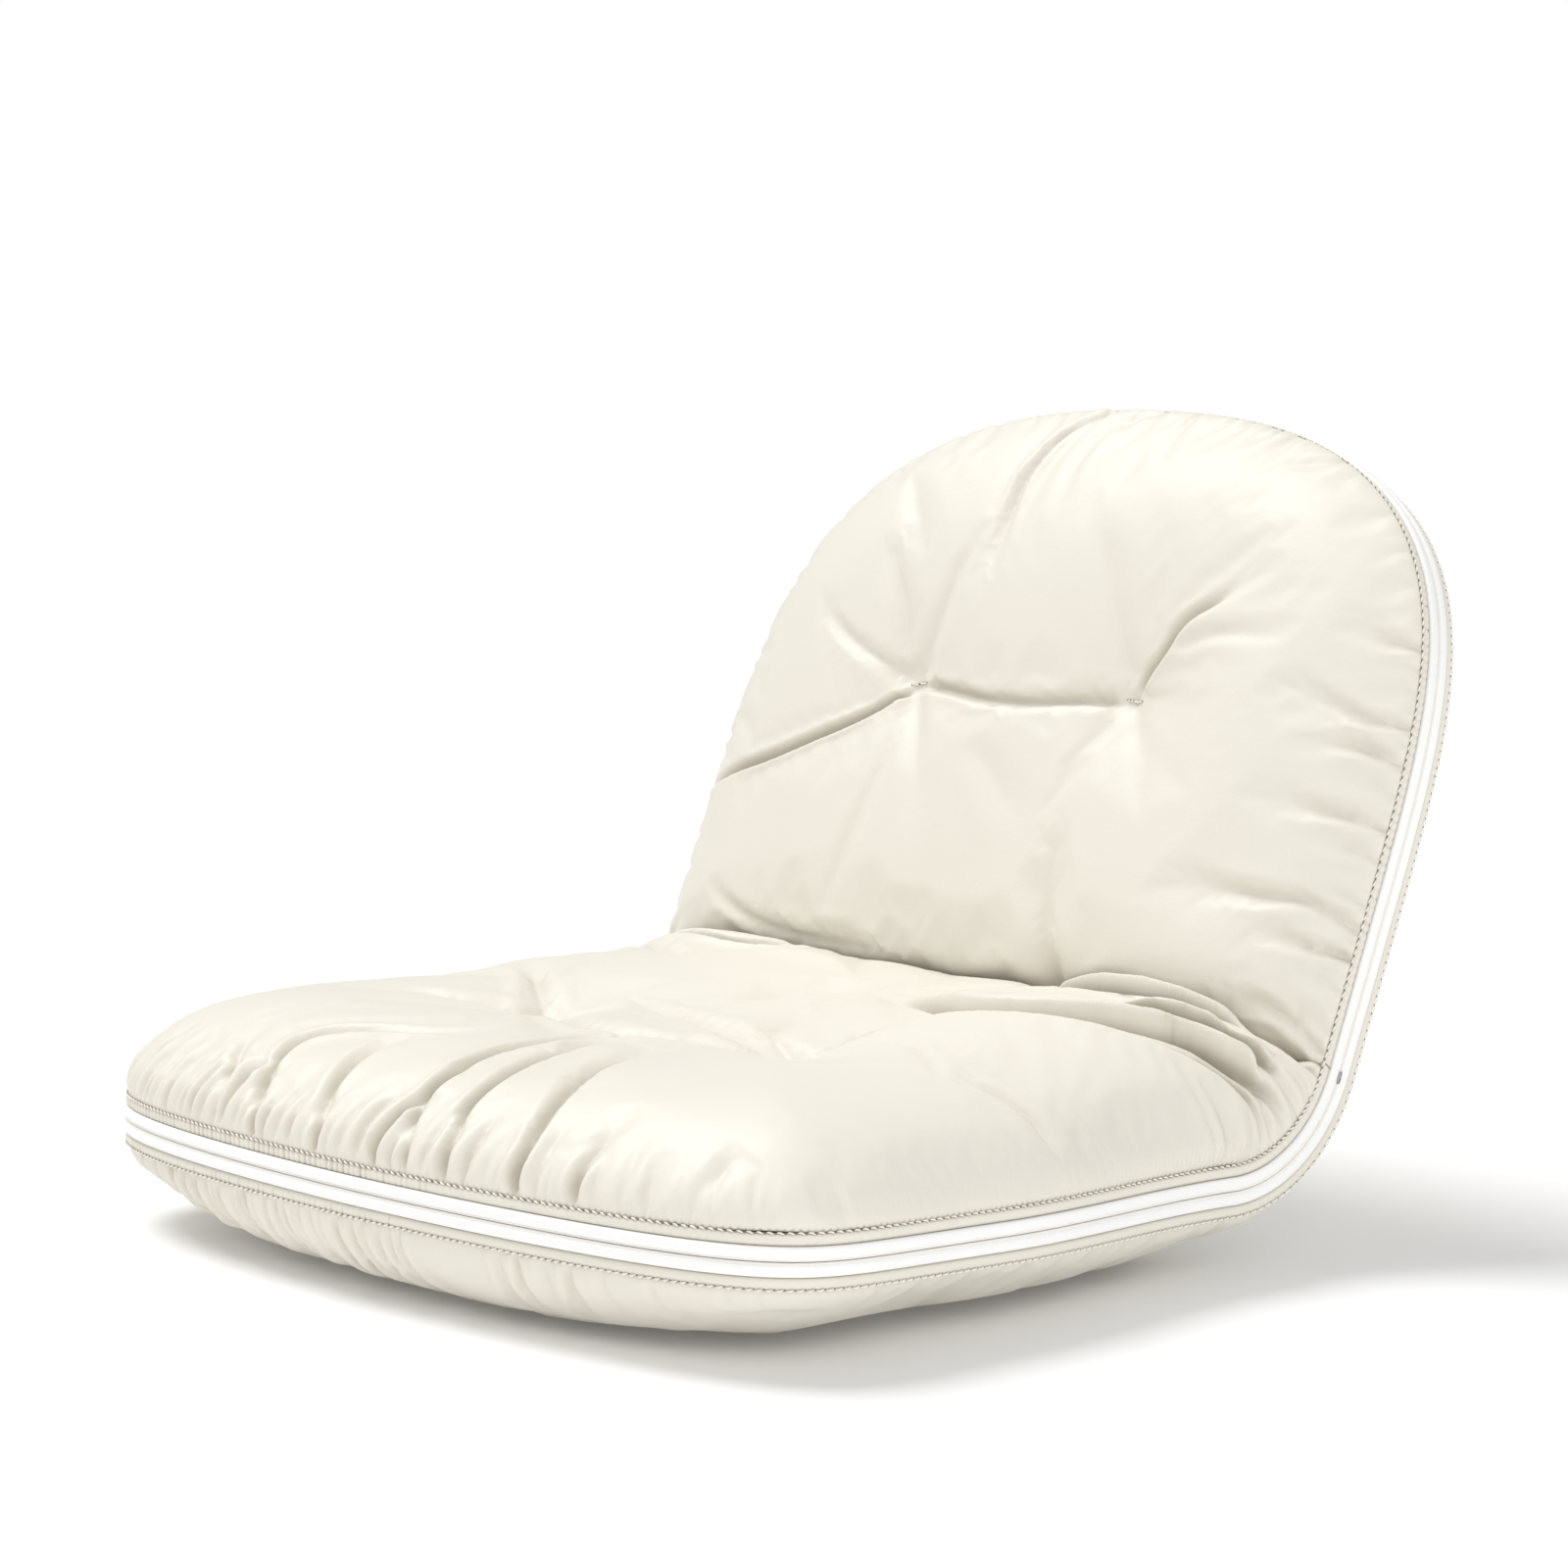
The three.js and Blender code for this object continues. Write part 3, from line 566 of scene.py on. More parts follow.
BACK_ROLLS = [
    # as in SEAT_ROLLS: left tuft to left edge, between the tufts, and down to the right tuft
    (4, 3, 22, 0.06, 0.10, (-76, 571), (-96, 554), (-124, 539), (-158, 525), (-202, 514),
     (-230, 506)),
    (2.6, 3, 20, 0.10, 0.10, (76, 573), (50, 570), (16, 566), (-18, 566), (-50, 570), (-76, 573)),
    (3, 3, 18, 0.40, 0.08, (134, 638), (118, 626), (103, 615), (92, 598), (77, 577)),
]
BACK_FOLDS = [
    # as in SEAT_FOLDS, first along the rolls and round the left tuft
    (3, 2.5, 0, 0.1, (-76, 572), (-96, 556), (-124, 541), (-158, 527), (-202, 516), (-230, 508)),
    (2, 3, 0, 0, (-76, 573), (-50, 571), (-18, 567), (16, 567), (50, 571), (76, 573)),
    (2.5, 3.5, 0.4, 0, (-160, 613), (-130, 595), (-102, 583), (-80, 576)),
    (2.5, 6.5, 0.4, 0, (-118, 648), (-97, 613), (-82, 580)),
    (1.5, 7, 0.4, 0.4, (-132, 690), (-94, 648), (-78, 622)),
    (2.2, 4, 0.5, 0, (-52, 664), (-61, 635), (-65, 612), (-74, 580)),
    # down from the top edge, then round the right tuft and below both
    (3.5, 3, 0, 0.5, (-16, 735), (-34, 720), (-42, 692), (-40, 665), (-35, 628)),
    (2, 3, 0, 0.5, (18, 735), (-6, 724), (-11, 701), (-8, 674)),
    (2.5, 2.5, 0, 0.5, (77, 577), (92, 598), (103, 615), (118, 626), (134, 638)),
    (2.2, 3, 0.2, 0.5, (96, 597), (116, 607), (136, 611), (164, 611)),
    (1.5, 8, 0.1, 0.5, (74, 580), (58, 609), (42, 639), (8, 686)),
    (2, 6.5, 0, 0.5, (-74, 570), (-50, 534), (-39, 504), (-38, 480)),
    (1.5, 7, 0.3, 0.4, (-20, 545), (4, 529), (24, 513), (42, 497)),
    (2, 5, 0, 0.5, (78, 571), (96, 549), (116, 534)),
    # into the pinch, and along the crease on its left
    (4, 6.5, 0.7, 0, (60, 500), (70, 454), (76, 432), (77, 417)),
    (3, 4, 0.3, 0.3, (-190, 456), (-150, 440), (-110, 433), (-60, 431), (-20, 428)),
    # in from the right edge, the top right corner and the left edge
    (2.5, 3, 0, 0.5, (232, 618), (212, 619), (196, 626)),
    (3, 3, 0, 0.4, (232, 580), (214, 579), (194, 583), (176, 584)),
    (3, 3, 0, 0.5, (232, 560), (214, 565), (192, 561)),
    (1.5, 3.5, 0.3, 0.4, (210, 573), (188, 575), (168, 570)),
    (3, 3, 0, 0.5, (232, 529), (214, 531), (184, 531)),
    (1.5, 3, 0, 0.5, (232, 514), (218, 517), (202, 515)),
    (3.5, 3.5, 0, 0.5, (232, 480), (212, 487), (188, 485), (142, 484)),
    (3, 3, 0, 0.5, (232, 466), (212, 467), (188, 471)),
    (3, 3, 0, 0.5, (231, 420), (210, 433), (180, 436)),
    (1.5, 3, 0, 0.5, (150, 714), (128, 706), (108, 696)),
    (1.5, 3.5, 0, 0.5, (-232, 588), (-212, 589), (-190, 592)),
    (2, 3.5, 0, 0.5, (-232, 540), (-210, 548), (-188, 548)),
    (2, 3.5, 0, 0.5, (-231, 424), (-210, 436), (-176, 440)),
]


def gathers(stretches, seed):
    """Short creases that start at the edge. Each stretch is (from, to) as (x, s) in mm on the
    edge, then the pitch, depth, length and half-width in mm and how far they lean along it."""
    rng = np.random.default_rng(seed)
    folds = []
    inward = -outward(RIM)
    arc = np.arange(len(RIM)) * RIM_LENGTH / len(RIM)
    for start, end, pitch, depth, length, width, lean in stretches:
        a, b = (arc[np.hypot(*(RIM - np.array(p) * MM).T).argmin()] for p in (start, end))
        span = (b - a) % RIM_LENGTH
        count = int(span / (pitch * MM))
        for at in a + span * (np.arange(count) + rng.uniform(0.1, 0.9, count)) / count:
            i = int(at / RIM_LENGTH * len(RIM)) % len(RIM)
            reach = length * rng.uniform(0.5, 1.3)
            along = np.array([inward[i][1], -inward[i][0]]) * (lean + rng.normal(0, 0.12))
            foot = RIM[i] / MM
            folds.append((depth * rng.uniform(0.5, 1.3), width * rng.uniform(0.7, 1.4), 0, 0.8,
                          foot, foot + (inward[i] + 0.4 * along) * reach / 2,
                          foot + (inward[i] + 1.2 * along) * reach))
    return folds


SEAT_GATHERS = [
    ((-247, 110), (-205, 20), 9, 2.6, 20, 2.6, 0.2),
    ((-205, 20), (-60, 1), 8, 3.2, 26, 2.8, 0.25),
    ((-60, 1), (150, 5), 9, 2.8, 22, 2.8, 0.1),
    ((150, 5), (235, 50), 14, 1.5, 16, 3.0, -0.2),
    ((236, 300), (232, 412), 12, 2.2, 18, 2.8, 0),
    ((-232, 410), (-250, 130), 18, 1.6, 20, 3.0, 0),
]
BACK_GATHERS = [
    ((232, 420), (228, 640), 17, 1.4, 26, 3.2, 0.1),
    ((228, 640), (120, 715), 24, 0.9, 16, 3.2, 0.3),
    ((120, 715), (60, 730), 10, 1.6, 20, 2.8, 0.5),
    ((60, 730), (-60, 735), 20, 1.4, 22, 3.0, 0),
    ((-60, 735), (-232, 420), 24, 0.8, 22, 3.2, 0),
]
OUTER_GATHERS = [
    ((-247, 110), (-205, 20), 6, 3.8, 42, 2.0, 0.5),
    ((-205, 20), (-40, 0), 6.5, 4.8, 56, 2.2, 0.6),
    ((-40, 0), (40, 0), 9, 4.2, 44, 2.7, 0.5),
    ((90, 2), (150, 5), 13, 2.8, 30, 2.8, -0.3),
    ((150, 5), (235, 50), 20, 1.0, 24, 3.0, 0),
    ((235, 50), (232, 420), 26, 0.9, 22, 3.5, 0),
    ((232, 420), (-232, 420), 22, 1.2, 20, 3.5, 0),
    ((-232, 420), (-247, 110), 16, 1.5, 24, 3.2, 0),
]


# --- cloth ----------------------------------------------------------------------------------
def vertex_normals(vertices, faces):
    a, b, c = (vertices[faces[:, k]] for k in range(3))
    face = np.cross(b - a, c - a)
    normals = np.zeros_like(vertices)
    for k in range(3):
        np.add.at(normals, faces[:, k], face)
    return normals / np.linalg.norm(normals, axis=1, keepdims=True)


PRESSURE = 4.0
GROWTH = 0.010                      # share by which the leather is cut larger than its panel
SWELL_CAP = 0.004


def inflate(piece, pins):
    """Cloth under air pressure, pinned where pins is 1; no point moves further than SWELL_CAP."""
    before = np.empty(len(piece.data.vertices) * 3)
    piece.data.vertices.foreach_get("co", before)
    group = piece.vertex_groups.new(name="pins")
    for i in np.flatnonzero(pins > 0):
        group.add([int(i)], float(pins[i]), "REPLACE")
    cloth = piece.modifiers.new("cloth", "CLOTH")
    settings = cloth.settings
    settings.quality = 5
    settings.mass = 0.25
    settings.tension_stiffness = 18
    settings.compression_stiffness = 18
    settings.shear_stiffness = 6
    settings.bending_stiffness = 0.6
    settings.use_pressure = True
    settings.uniform_pressure_force = PRESSURE
    settings.vertex_group_mass = "pins"
    settings.shrink_min = -GROWTH
    settings.effector_weights.gravity = 0
    cloth.collision_settings.use_collision = False
    scene = bpy.context.scene
    for step in range(1, 21):
        scene.frame_set(step)
    result = piece.evaluated_get(bpy.context.evaluated_depsgraph_get())
    after = np.empty(len(before))
    result.data.vertices.foreach_get("co", after)
    move = (after - before).reshape(-1, 3)
    size = np.linalg.norm(move, axis=1, keepdims=True)
    move *= np.minimum(1, SWELL_CAP / np.maximum(size, 1e-9))
    piece.modifiers.remove(cloth)
    piece.vertex_groups.remove(group)
    piece.data.vertices.foreach_set("co", (before.reshape(-1, 3) + move).ravel())
    piece.data.update()
    scene.frame_set(1)


def finish_leather(piece):
    """One subdivision, then the leather's thickness on the inside, both applied."""
    piece.modifiers.new("smooth", "SUBSURF").levels = 1
    solid = piece.modifiers.new("leather", "SOLIDIFY")
    solid.thickness = LEATHER
    solid.offset = -1
    graph = bpy.context.evaluated_depsgraph_get()
    mesh = bpy.data.meshes.new_from_object(piece.evaluated_get(graph))
    mesh.name = piece.name
    piece.modifiers.clear()
    old, piece.data = piece.data, mesh
    bpy.data.meshes.remove(old)


FINE_FOLD = 2.2                     # creases deeper than this (mm) get finer triangles
DEEPEST = 0.011                     # where creases meet they get no deeper than this
SEAM_FADE = 0.0004                  # creases fade in over this distance from a seam
TUFT_CALM = 0.016                   # creases weaken this close to a tuft
RIM_BULGE = 0.0020                  # a stuffed panel swells over its own seam
CREASE_HOLD = 0.85                  # how firmly the cloth is pinned along a deep crease


def bulge(d):
    """How far a panel swells outwards at a distance from the pad's edge."""
    return RIM_BULGE * (0.4 + 0.6 * ease(np.sqrt(d / 0.0003))) * np.exp(-(d / 0.0060) ** 2)


def quilted_panel(name, edge, field, folds, rolls, stretches, tufts, pitch, holes=(), seed=1):
    """One leather panel: its crowned face, its creases, a little swelling, then its thickness."""
    folds = folds + gathers(stretches, seed)
    deep = [f for f in folds if f[0] > FINE_FOLD]
    points, faces = triangulate(edge, pitch, holes, creases=fold_lines(deep, rolls))
    d = rim_distance(points)
    n, follow = field(points[:, 0], points[:, 1], d)
    vertices = shell(points[:, 0], points[:, 1], n, follow)
    outer = n.mean() < 0
    if outer:
        faces = faces[:, ::-1]
    border, _, _ = nearest_on(points, edge)
    offset = np.zeros(len(points))
    for depth, width, start, end, *line in folds:
        offset += fold(points, depth, width, start, end, *line)
    for height, rise, tail, start, end, *line in rolls:
        offset += roll(points, height, rise, tail, start, end, *line)
    offset = np.where(offset < 0, -DEEPEST * np.tanh(-offset / DEEPEST), offset)
    offset *= ease(border / SEAM_FADE)
    if tufts:
        r = np.hypot(np.abs(points[:, 0]) - tufts[0], points[:, 1] - tufts[1])
        offset *= 0.25 + 0.75 * ease(r / TUFT_CALM)
    if not outer:
        offset += bulge(d)
    vertices = vertices + vertex_normals(vertices, faces) * offset[:, None]
    piece = new_piece(name, vertices, faces.tolist(), MATERIALS["quilted_leather"], "cream_leather")
    pins = (border < 0.00005) + CREASE_HOLD * ease((-offset - 0.0010) / 0.0020)
    pins = np.minimum(pins, 1)
    for hole in holes:
        pins = np.maximum(pins, np.hypot(*(points - hole).T) < SCREW_HOLE + 0.001)
    if tufts:
        pins = np.maximum(pins, ease((0.011 - r) / 0.006))
    inflate(piece, pins)
    if outer:
        co = np.array([v.co for v in piece.data.vertices])
        co[:, 2] = np.maximum(co[:, 2], LEATHER / 3)
        piece.data.vertices.foreach_set("co", co.ravel())
    finish_leather(piece)
    return piece


seat_edge = panel_outline(CREASE - 0.0002, False)
seat = quilted_panel("seat_panel", seat_edge, seat_field, SEAT_FOLDS, SEAT_ROLLS, SEAT_GATHERS,
                     SEAT_TUFTS, 0.0046, seed=3)
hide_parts("seat_cover")
back_edge = panel_outline(CREASE + 0.0002, True)
back = quilted_panel("back_panel", back_edge, back_field, BACK_FOLDS, BACK_ROLLS, BACK_GATHERS,
                     BACK_TUFTS, 0.0048, seed=5)
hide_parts("back_cover")
outer = quilted_panel("outer_panel", outline(0.0045), outer_field, [], [], OUTER_GATHERS, None,
                      0.0045, SCREWS, seed=7)
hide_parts("outer_cover")


# --- wadding and foam -----------------------------------------------------------------------
def closed_layer(name, edge, inset, face_n, base_n, slot, replaced, follow=None, holes=()):
    """A closed solid between two heights over the outline drawn in by inset."""
    inner = edge - outward(edge) * inset
    gap, _, side = nearest_on(inner, edge)
    inner = resample(inner[(gap > 0.97 * inset) & (side > 0)], 0.009, True)
    points, faces = triangulate(inner, 0.013, holes, SCREW_HOLE + 0.001)
    x, s = points.T
    d = rim_distance(points)
    lean = follow(x, s, d) if follow else 1.0
    top = shell(x, s, face_n(x, s, d), lean)
    bottom = shell(x, s, base_n(x, s, d), lean)
    edges = np.vstack([faces[:, [0, 1]], faces[:, [1, 2]], faces[:, [2, 0]]])
    known = {(a, b) for a, b in edges.tolist()}
    count = len(points)
    walls = [(b, a, a + count, b + count) for a, b in known if (b, a) not in known]
    solid = faces.tolist() + (faces[:, ::-1] + count).tolist() + sorted(walls)
    vertices = np.vstack([top, bottom])
    vertices[:, 2] = np.maximum(vertices[:, 2], 2 * LEATHER)
    if face_n(x, s, d).mean() < base_n(x, s, d).mean():
        solid = [f[::-1] for f in solid]
    piece = new_piece(name, vertices, solid, MATERIALS[slot], slot)
    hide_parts(replaced)
    return piece


PLY_CLEAR = 0.0058
WADDING = 0.006
FOLD_ROOM = 0.018                   # the deepest creases stay clear of the wadding
for name, field, edge in (("seat", seat_field, seat_edge), ("back", back_field, back_edge)):

    def level(drop, field=field):
        return lambda x, s, d: np.maximum(field(x, s, d)[0] - drop, PLY_CLEAR + 0.0012)

    def lean(x, s, d, field=field):
        return field(x, s, d)[1]

    closed_layer(f"{name}_wadding", edge, 0.018, level(FOLD_ROOM), level(FOLD_ROOM + WADDING * 0.8),
                 "wadding", f"{name}_fibre_wrap", lean)
    closed_layer(f"{name}_padding", edge, 0.018, level(FOLD_ROOM + WADDING),
                 lambda x, s, d: np.full(len(x), PLY_CLEAR), "foam", f"{name}_foam", lean)
for name, edge, holes in (("under", seat_edge, SCREWS), ("rear", back_edge, ())):
    closed_layer(f"{name}_padding", edge, 0.0105,
                 lambda x, s, d: np.minimum(outer_field(x, s, d)[0] + 0.0045, -PLY_CLEAR - 0.0012),
                 lambda x, s, d: np.full(len(x), -PLY_CLEAR), "foam", f"{name}_foam", holes=holes)


# --- welts, flanges, stitches ---------------------------------------------------------------
def pucker_strength(points):
    """Strong puckers along the front's left half, faint ones on the sides, some on the back."""
    x, s = points.T
    front = ease((0.09 - s) / 0.07) * ease((0.08 - x) / 0.10)
    return 0.10 + 0.90 * front + 0.25 * ease((s - CREASE) / 0.05)


def puckers(points, seed):
    """0 on a ridge to 1 in a pucker, one for each stitch, with a deep slit now and then."""
    rng = np.random.default_rng(seed)
    count = int(round(RIM_LENGTH / STITCH_PITCH))
    sizes = rng.uniform(0.3, 1.0, count) + 0.9 * (rng.random(count) < 0.16)
    t = np.arange(len(points)) / len(points) * count
    bump = np.exp(-((t % 1 - 0.5) / 0.20) ** 2)
    return bump * sizes[t.astype(int) % count] * pucker_strength(points)


FLANGE = [(-2.2, 11.7), (-0.4, 12.0), (0.6, 11.9), (1.4, 11.3), (1.8, 10.2), (1.85, 8.6),
          (1.6, 7.2), (0.8, 6.45), (-2.2, 6.45)]
FLANGE_GIVE = [0, 0.4, 0.8, 1, 1, 1, 0.8, 0.3, 0]
STITCH_ENDS = ((-0.36, 1.15, 12.15), (0.36, 1.6, 11.4))    # share of a pitch, then out and n
for half, sign in (("upper", 1), ("lower", -1)):
    welt = rounded(1.2 * MM, sign * 3.75 * MM, 1.8 * MM, 2.7 * MM, 28, 0.72)
    piece = new_piece(f"{half}_piping", *edge_sweep(welt, 0.0025),
                      MATERIALS["white_welt"], "white_welt")
    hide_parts(f"{half}_welt")

    def flange_shift(k, points, half=half, give=FLANGE_GIVE[::-sign], sign=sign):
        depth = puckers(points, 11 if half == "upper" else 12)
        if half == "lower":
            depth = depth * 0.4
        return -0.0016 * np.minimum(depth, 1) * give[k], 0.0

    section = [(o * MM, sign * n * MM) for o, n in FLANGE][::-sign]
    new_piece(f"{half}_flange", *edge_sweep(section, 0.0006, flange_shift),
              MATERIALS["flange_leather"], "cream_leather")

    centres = outline(STITCH_PITCH)
    out = outward(centres)
    along = np.stack([-out[:, 1], out[:, 0]], 1)
    step = RIM_LENGTH / len(centres)
    ends = []
    for shift, o, n in STITCH_ENDS:
        q = centres + along * step * shift + out * o * MM
        ends.append(shell(q[:, 0], q[:, 1], sign * n * MM))
    inner = shell(centres[:, 0], centres[:, 1], sign * 10.6 * MM)
    outer_end = centres + out * 1.1 * MM
    lift = shell(outer_end[:, 0], outer_end[:, 1], sign * 11.7 * MM) - inner
    lift *= 0.55 * MM / np.linalg.norm(lift, axis=1, keepdims=True)
    rows, faces = capsules(ends[0], ends[1], lift, 0.44 * MM)
    piece = new_piece(f"{half}_stitches", rows, faces, MATERIALS["thread"], "thread")
    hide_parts(f"{half}_topstitch")
    # Painted shade: a dark bead lies in each needle hole between the stitches.
    gap = centres + along * step * 0.5 + out * 1.1 * MM
    pit = shell(gap[:, 0], gap[:, 1], sign * 11.65 * MM)
    sideways = shell(gap[:, 0] + along[:, 0] * MM, gap[:, 1] + along[:, 1] * MM, sign * 11.65 * MM)
    sideways = (sideways - pit) * 0.5
    rows, faces = capsules(pit - sideways, pit + sideways, lift * 0.3, 0.36 * MM)
    new_piece(f"{half}_needle_holes", rows, faces, NEEDLE_HOLE, "thread")

# --- zip --------------------------------------------------------------------------------------
LIPS = {
    "upper": [(-0.7, 0.22), (2.0, 0.22), (2.25, 0.32), (2.25, 0.8), (0.9, 2.1), (-0.7, 2.1)],
    "lower": [(-0.7, -2.1), (0.9, -2.2), (2.2, -1.5), (2.35, -1.1), (2.3, -0.6), (2.1, -0.24),
              (-0.7, -0.22)],
}
for half, section in LIPS.items():
    section = [(o * MM, n * MM) for o, n in section]
    new_piece(f"{half}_zip_lip", *edge_sweep(section, 0.003), MATERIALS["zip_tape"], "zip_tape")

BEAD_PITCH = 0.0013
centres = outline(BEAD_PITCH)
out = outward(centres)
along = np.stack([-out[:, 1], out[:, 0]], 1)
base = centres + out * 2.25 * MM
ends = [shell(*(base + along * k * 0.33 * BEAD_PITCH).T, -1.22 * MM) for k in (-1, 1)]
tip = base + out * MM
lift = (shell(*tip.T, -1.22 * MM) - shell(*base.T, -1.22 * MM)) * 0.16
rows, faces = capsules(ends[0], ends[1], lift, 0.15 * MM, rings=4, sides=5)
new_piece("zip_edge_stitches", rows, faces, MATERIALS["thread"], "thread")


def at_slider(o, along, n):
    """Places a point of the slider: o out of the edge, along it and n up (metres)."""
    return shell(TOP_ROUND["half"] + np.asarray(o), SLIDER_S + np.asarray(along), n)


def rounded_plate(low, high, half_n, half_length, sides=28):
    """A plate between two values of o with softened rims."""
    outline_ring = np.array(rounded(0, 0, half_length, half_n, sides, 0.5))
    soft = (high - low) * 0.2
    rings = []
    for o, size in ((low, 0.93), (low + soft, 1), (high - soft, 1), (high, 0.93)):
        rings.append(at_slider(o, outline_ring[:, 0] * size, outline_ring[:, 1] * size))
    faces = ring_faces(4, sides, False)
    return np.vstack(rings), faces + [tuple(range(sides))[::-1], tuple(range(3 * sides, 4 * sides))]


def tube(path, radius, sides=8, closed=False):
    """A round thread or wire along a path of points in space."""
    path = np.asarray(path)
    ahead = np.roll(path, -1, 0) - np.roll(path, 1, 0)
    if not closed:
        ahead[0], ahead[-1] = path[1] - path[0], path[-1] - path[-2]
    ahead /= np.linalg.norm(ahead, axis=1, keepdims=True)
    side = np.cross(ahead, (0.31, 0.87, 0.39))
    side /= np.linalg.norm(side, axis=1, keepdims=True)
    up = np.cross(ahead, side)
    a = 2 * np.pi * np.arange(sides) / sides
    rings = (path[:, None] + radius * (side[:, None] * np.cos(a)[None, :, None]
                                       + up[:, None] * np.sin(a)[None, :, None]))
    faces = ring_faces(len(path), sides, closed)
    if not closed:
        last = (len(path) - 1) * sides
        faces += [tuple(range(sides))[::-1], tuple(range(last, last + sides))]
    return rings.reshape(-1, 3), faces


def joined(parts):
    """One vertex and face list out of several."""
    vertices, faces, first = [], [], 0
    for v, f in parts:
        vertices.append(np.reshape(v, (-1, 3)))
        faces += [tuple(first + i for i in face) for face in f]
        first += len(vertices[-1])
    return np.vstack(vertices), faces


turn = 2 * np.pi * np.arange(36) / 36
eyelet = at_slider(0.9 * MM + 1.8 * MM * np.sin(turn), 2.6 * MM * np.cos(turn), 0)
slider = new_piece("slider_body", *joined([
    rounded_plate(-5.6 * MM, -4.8 * MM, 3.1 * MM, 4.2 * MM),
    rounded_plate(-4.95 * MM, -1.55 * MM, 0.3 * MM, 2.0 * MM),
    rounded_plate(-1.7 * MM, -0.9 * MM, 2.5 * MM, 4.2 * MM),
    tube(eyelet, 0.19 * MM, closed=True),
    rounded_plate(2.45 * MM, 3.05 * MM, 0.92 * MM, 3.0 * MM),
]), MATERIALS["zinc"], "zinc", "slider")
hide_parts("zip_slider")

# --- tufts ------------------------------------------------------------------------------------
BAR_STITCH = 1.9                    # pitch of a bar tack's stitches, mm


def tuft(name, panel, x0, s0, n0, replaced):
    """A bar of five stitches on the leather, its twisted thread down through the pad and a knot."""
    def row(middles, shift, half, height, radius):
        """Threads along x on the leather, their middles and sizes in mm."""
        threads = []
        for middle in middles:
            ends = []
            lift = np.zeros(3)
            for x in (middle - half, middle + half):
                guess = shell(x0 + x * MM, s0 + shift * MM, n0 + 4 * MM)
                _, place, normal, _ = panel.closest_point_on_mesh(Vector(guess))
                ends.append(np.array(place)[None])
                lift += np.array(normal)
            lift *= height * MM / np.linalg.norm(lift)
            threads.append(capsules(*ends, lift[None], radius * MM))
        return threads

    # Painted shade: dark beads in the needle holes beside the bar tack's stitches.
    holes = row(BAR_STITCH * (np.arange(-3, 3) + 0.5), 0.35, 0.45, 0.2, 0.42)
    new_piece(f"{name}_holes", *joined(holes), NEEDLE_HOLE, "thread")
    parts = row(BAR_STITCH * np.arange(-2, 3), 0, 0.80, 0.6, 0.48)
    surface = np.array(panel.closest_point_on_mesh(Vector(shell(x0, s0, n0)))[1])
    foot = shell(x0, s0, -7.9 * MM)
    t = np.linspace(0, 1, 60)[:, None]
    for phase in (0, np.pi):
        a = 2 * np.pi * 9 * t + phase
        twist = 0.32 * MM * np.hstack([np.cos(a), np.sin(a), 0 * a])
        parts.append(tube(surface + (foot - surface) * t + twist, 0.34 * MM, 6))
    a = 2 * np.pi * np.arange(48) / 48
    loop = (2 + np.cos(3 * a)) * 0.55 * MM
    knot = shell(x0 + loop * np.cos(2 * a), s0 + loop * np.sin(2 * a),
                 -8.7 * MM + 0.5 * MM * np.sin(3 * a))
    parts.append(tube(knot, 0.42 * MM, 6, closed=True))
    piece = new_piece(name, *joined(parts), MATERIALS["thread"], "thread")
    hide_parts(replaced)


for cushion, panel, at in (("seat", seat, SEAT_TUFTS), ("back", back, BACK_TUFTS)):
    field = seat_field if cushion == "seat" else back_field
    for side, sign in (("left", -1), ("right", 1)):
        x0 = np.array([sign * at[0]])
        n0 = field(x0, np.array([at[1]]), rim_distance(np.array([[x0[0], at[1]]])))[0][0]
        tuft(f"{cushion}_bar_tack_{side}", panel, x0[0], at[1], n0, f"{cushion}_tuft_thread_{side}")

# --- joins across the upper flange, over the crease -------------------------------------------
starts = np.array([shell(sign * (TOP_ROUND["half"] + 1.95 * MM), CREASE, 6.6 * MM)
                   for sign in (-1, 1)])
ends = np.array([shell(sign * (TOP_ROUND["half"] + 1.75 * MM), CREASE + 1.5 * MM, 11.4 * MM)
                 for sign in (-1, 1)])
rows, faces = capsules(starts, ends, np.array([(-0.1 * MM, 0, 0), (0.1 * MM, 0, 0)]), 0.26 * MM)
new_piece("flange_joins", rows, faces, NEEDLE_HOLE, "thread")

# --- carried-over parts --------------------------------------------------------------------
for part in frame["record"]["subparts"]:
    node = frame["nodes"][part["node"]]
    for k in range(len(node.material_slots)):
        node.material_slots[k].material = MATERIALS[part["material_slot"]]


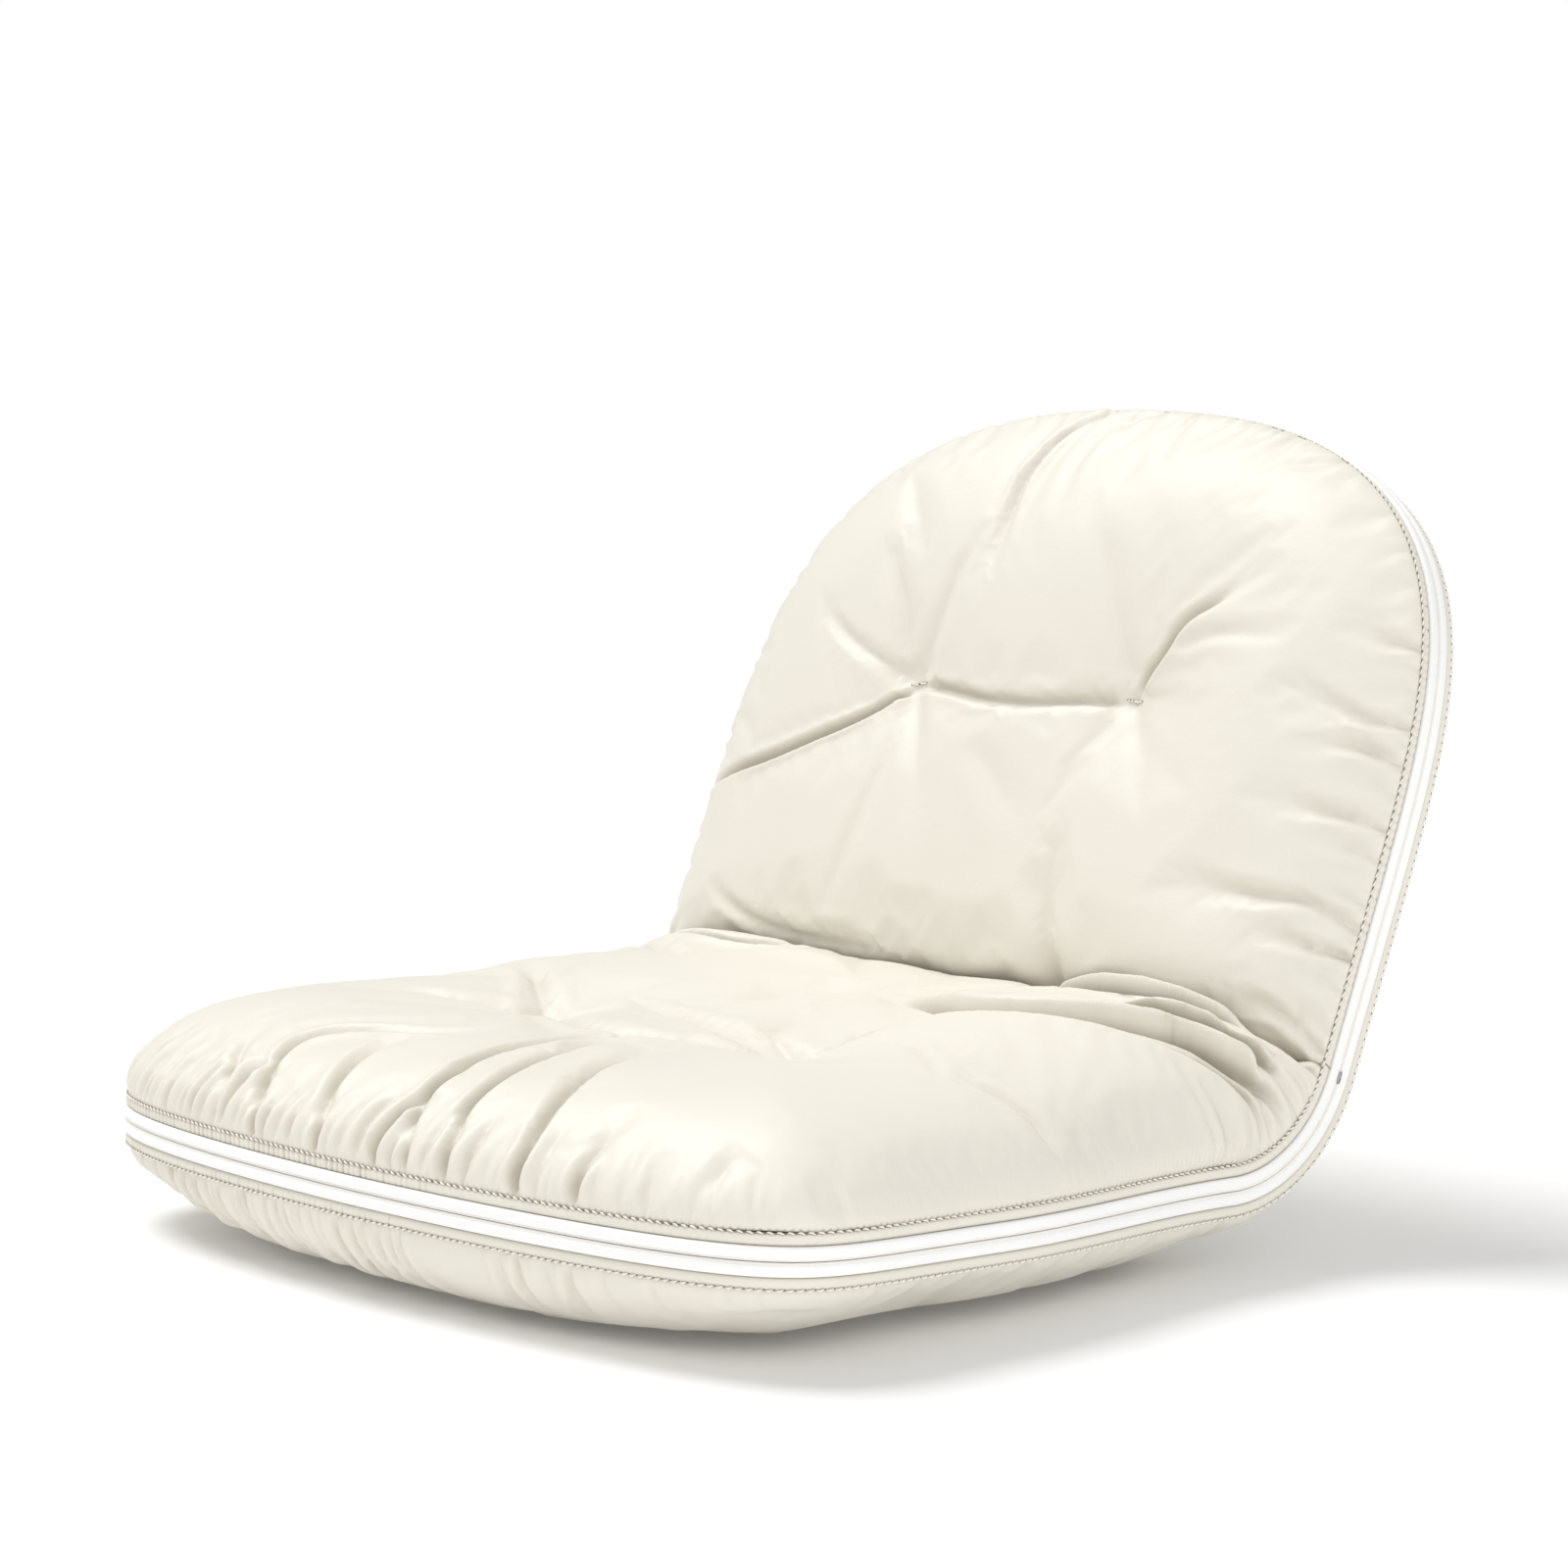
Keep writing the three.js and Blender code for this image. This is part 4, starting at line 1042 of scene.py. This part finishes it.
# --- stage ---------------------------------------------------------------------------------
AMBIENT = 0.54


def stage():
    """A pale floor and a white backdrop; the backdrop lights the pad less than it looks."""
    bpy.ops.mesh.primitive_plane_add(size=14)
    floor = bpy.context.object
    floor.name = "floor"
    floor.data.materials.append(
        material("studio_floor", srgb(244, 244, 244), srgb(242, 242, 242), 0.9, 2.0,
                 Emission_Color=(1, 1, 1, 1), Emission_Strength=0.07))
    world = bpy.data.worlds.new("studio")
    world.use_nodes = True
    nodes, links = world.node_tree.nodes, world.node_tree.links
    backdrop = nodes["Background"]
    backdrop.inputs["Color"].default_value = (1, 1, 1, 1)
    ray = nodes.new("ShaderNodeLightPath")
    strength = nodes.new("ShaderNodeMapRange")
    strength.inputs["To Min"].default_value = AMBIENT
    links.new(ray.outputs["Is Camera Ray"], strength.inputs["Value"])
    links.new(strength.outputs["Result"], backdrop.inputs["Strength"])
    bpy.context.scene.world = world


def sun(name, toward, power, spread):
    """A wide, soft light shining from a direction."""
    data = bpy.data.lights.new(name, "SUN")
    data.energy = power
    data.angle = math.radians(spread)
    light = bpy.data.objects.new(name, data)
    light.rotation_euler = Vector(toward).to_track_quat("Z", "Y").to_euler()
    bpy.context.scene.collection.objects.link(light)


def camera():
    azimuth, elevation, distance = math.radians(47.64), math.radians(5.83), 2.1
    low, high = (np.array(v) for v in cad_box)
    aim = Vector((low + high) / 2) + Vector((0.0075, -0.0119, 0.0209))
    to_camera = Vector((math.sin(azimuth) * math.cos(elevation),
                        -math.cos(azimuth) * math.cos(elevation), math.sin(elevation)))
    data = bpy.data.cameras.new("camera")
    data.lens = 100.89
    data.sensor_width = 36
    view = bpy.data.objects.new("camera", data)
    view.location = aim + to_camera * distance
    view.rotation_euler = (-to_camera).to_track_quat("-Z", "Y").to_euler()
    bpy.context.scene.collection.objects.link(view)
    bpy.context.scene.camera = view


stage()
sun("key", (-0.48, -0.10, 0.87), 1.80, 30)
sun("fill", (0.88, -0.42, 0.10), 1.32, 80)
camera()
bpy.context.scene.view_settings.view_transform = "Standard"
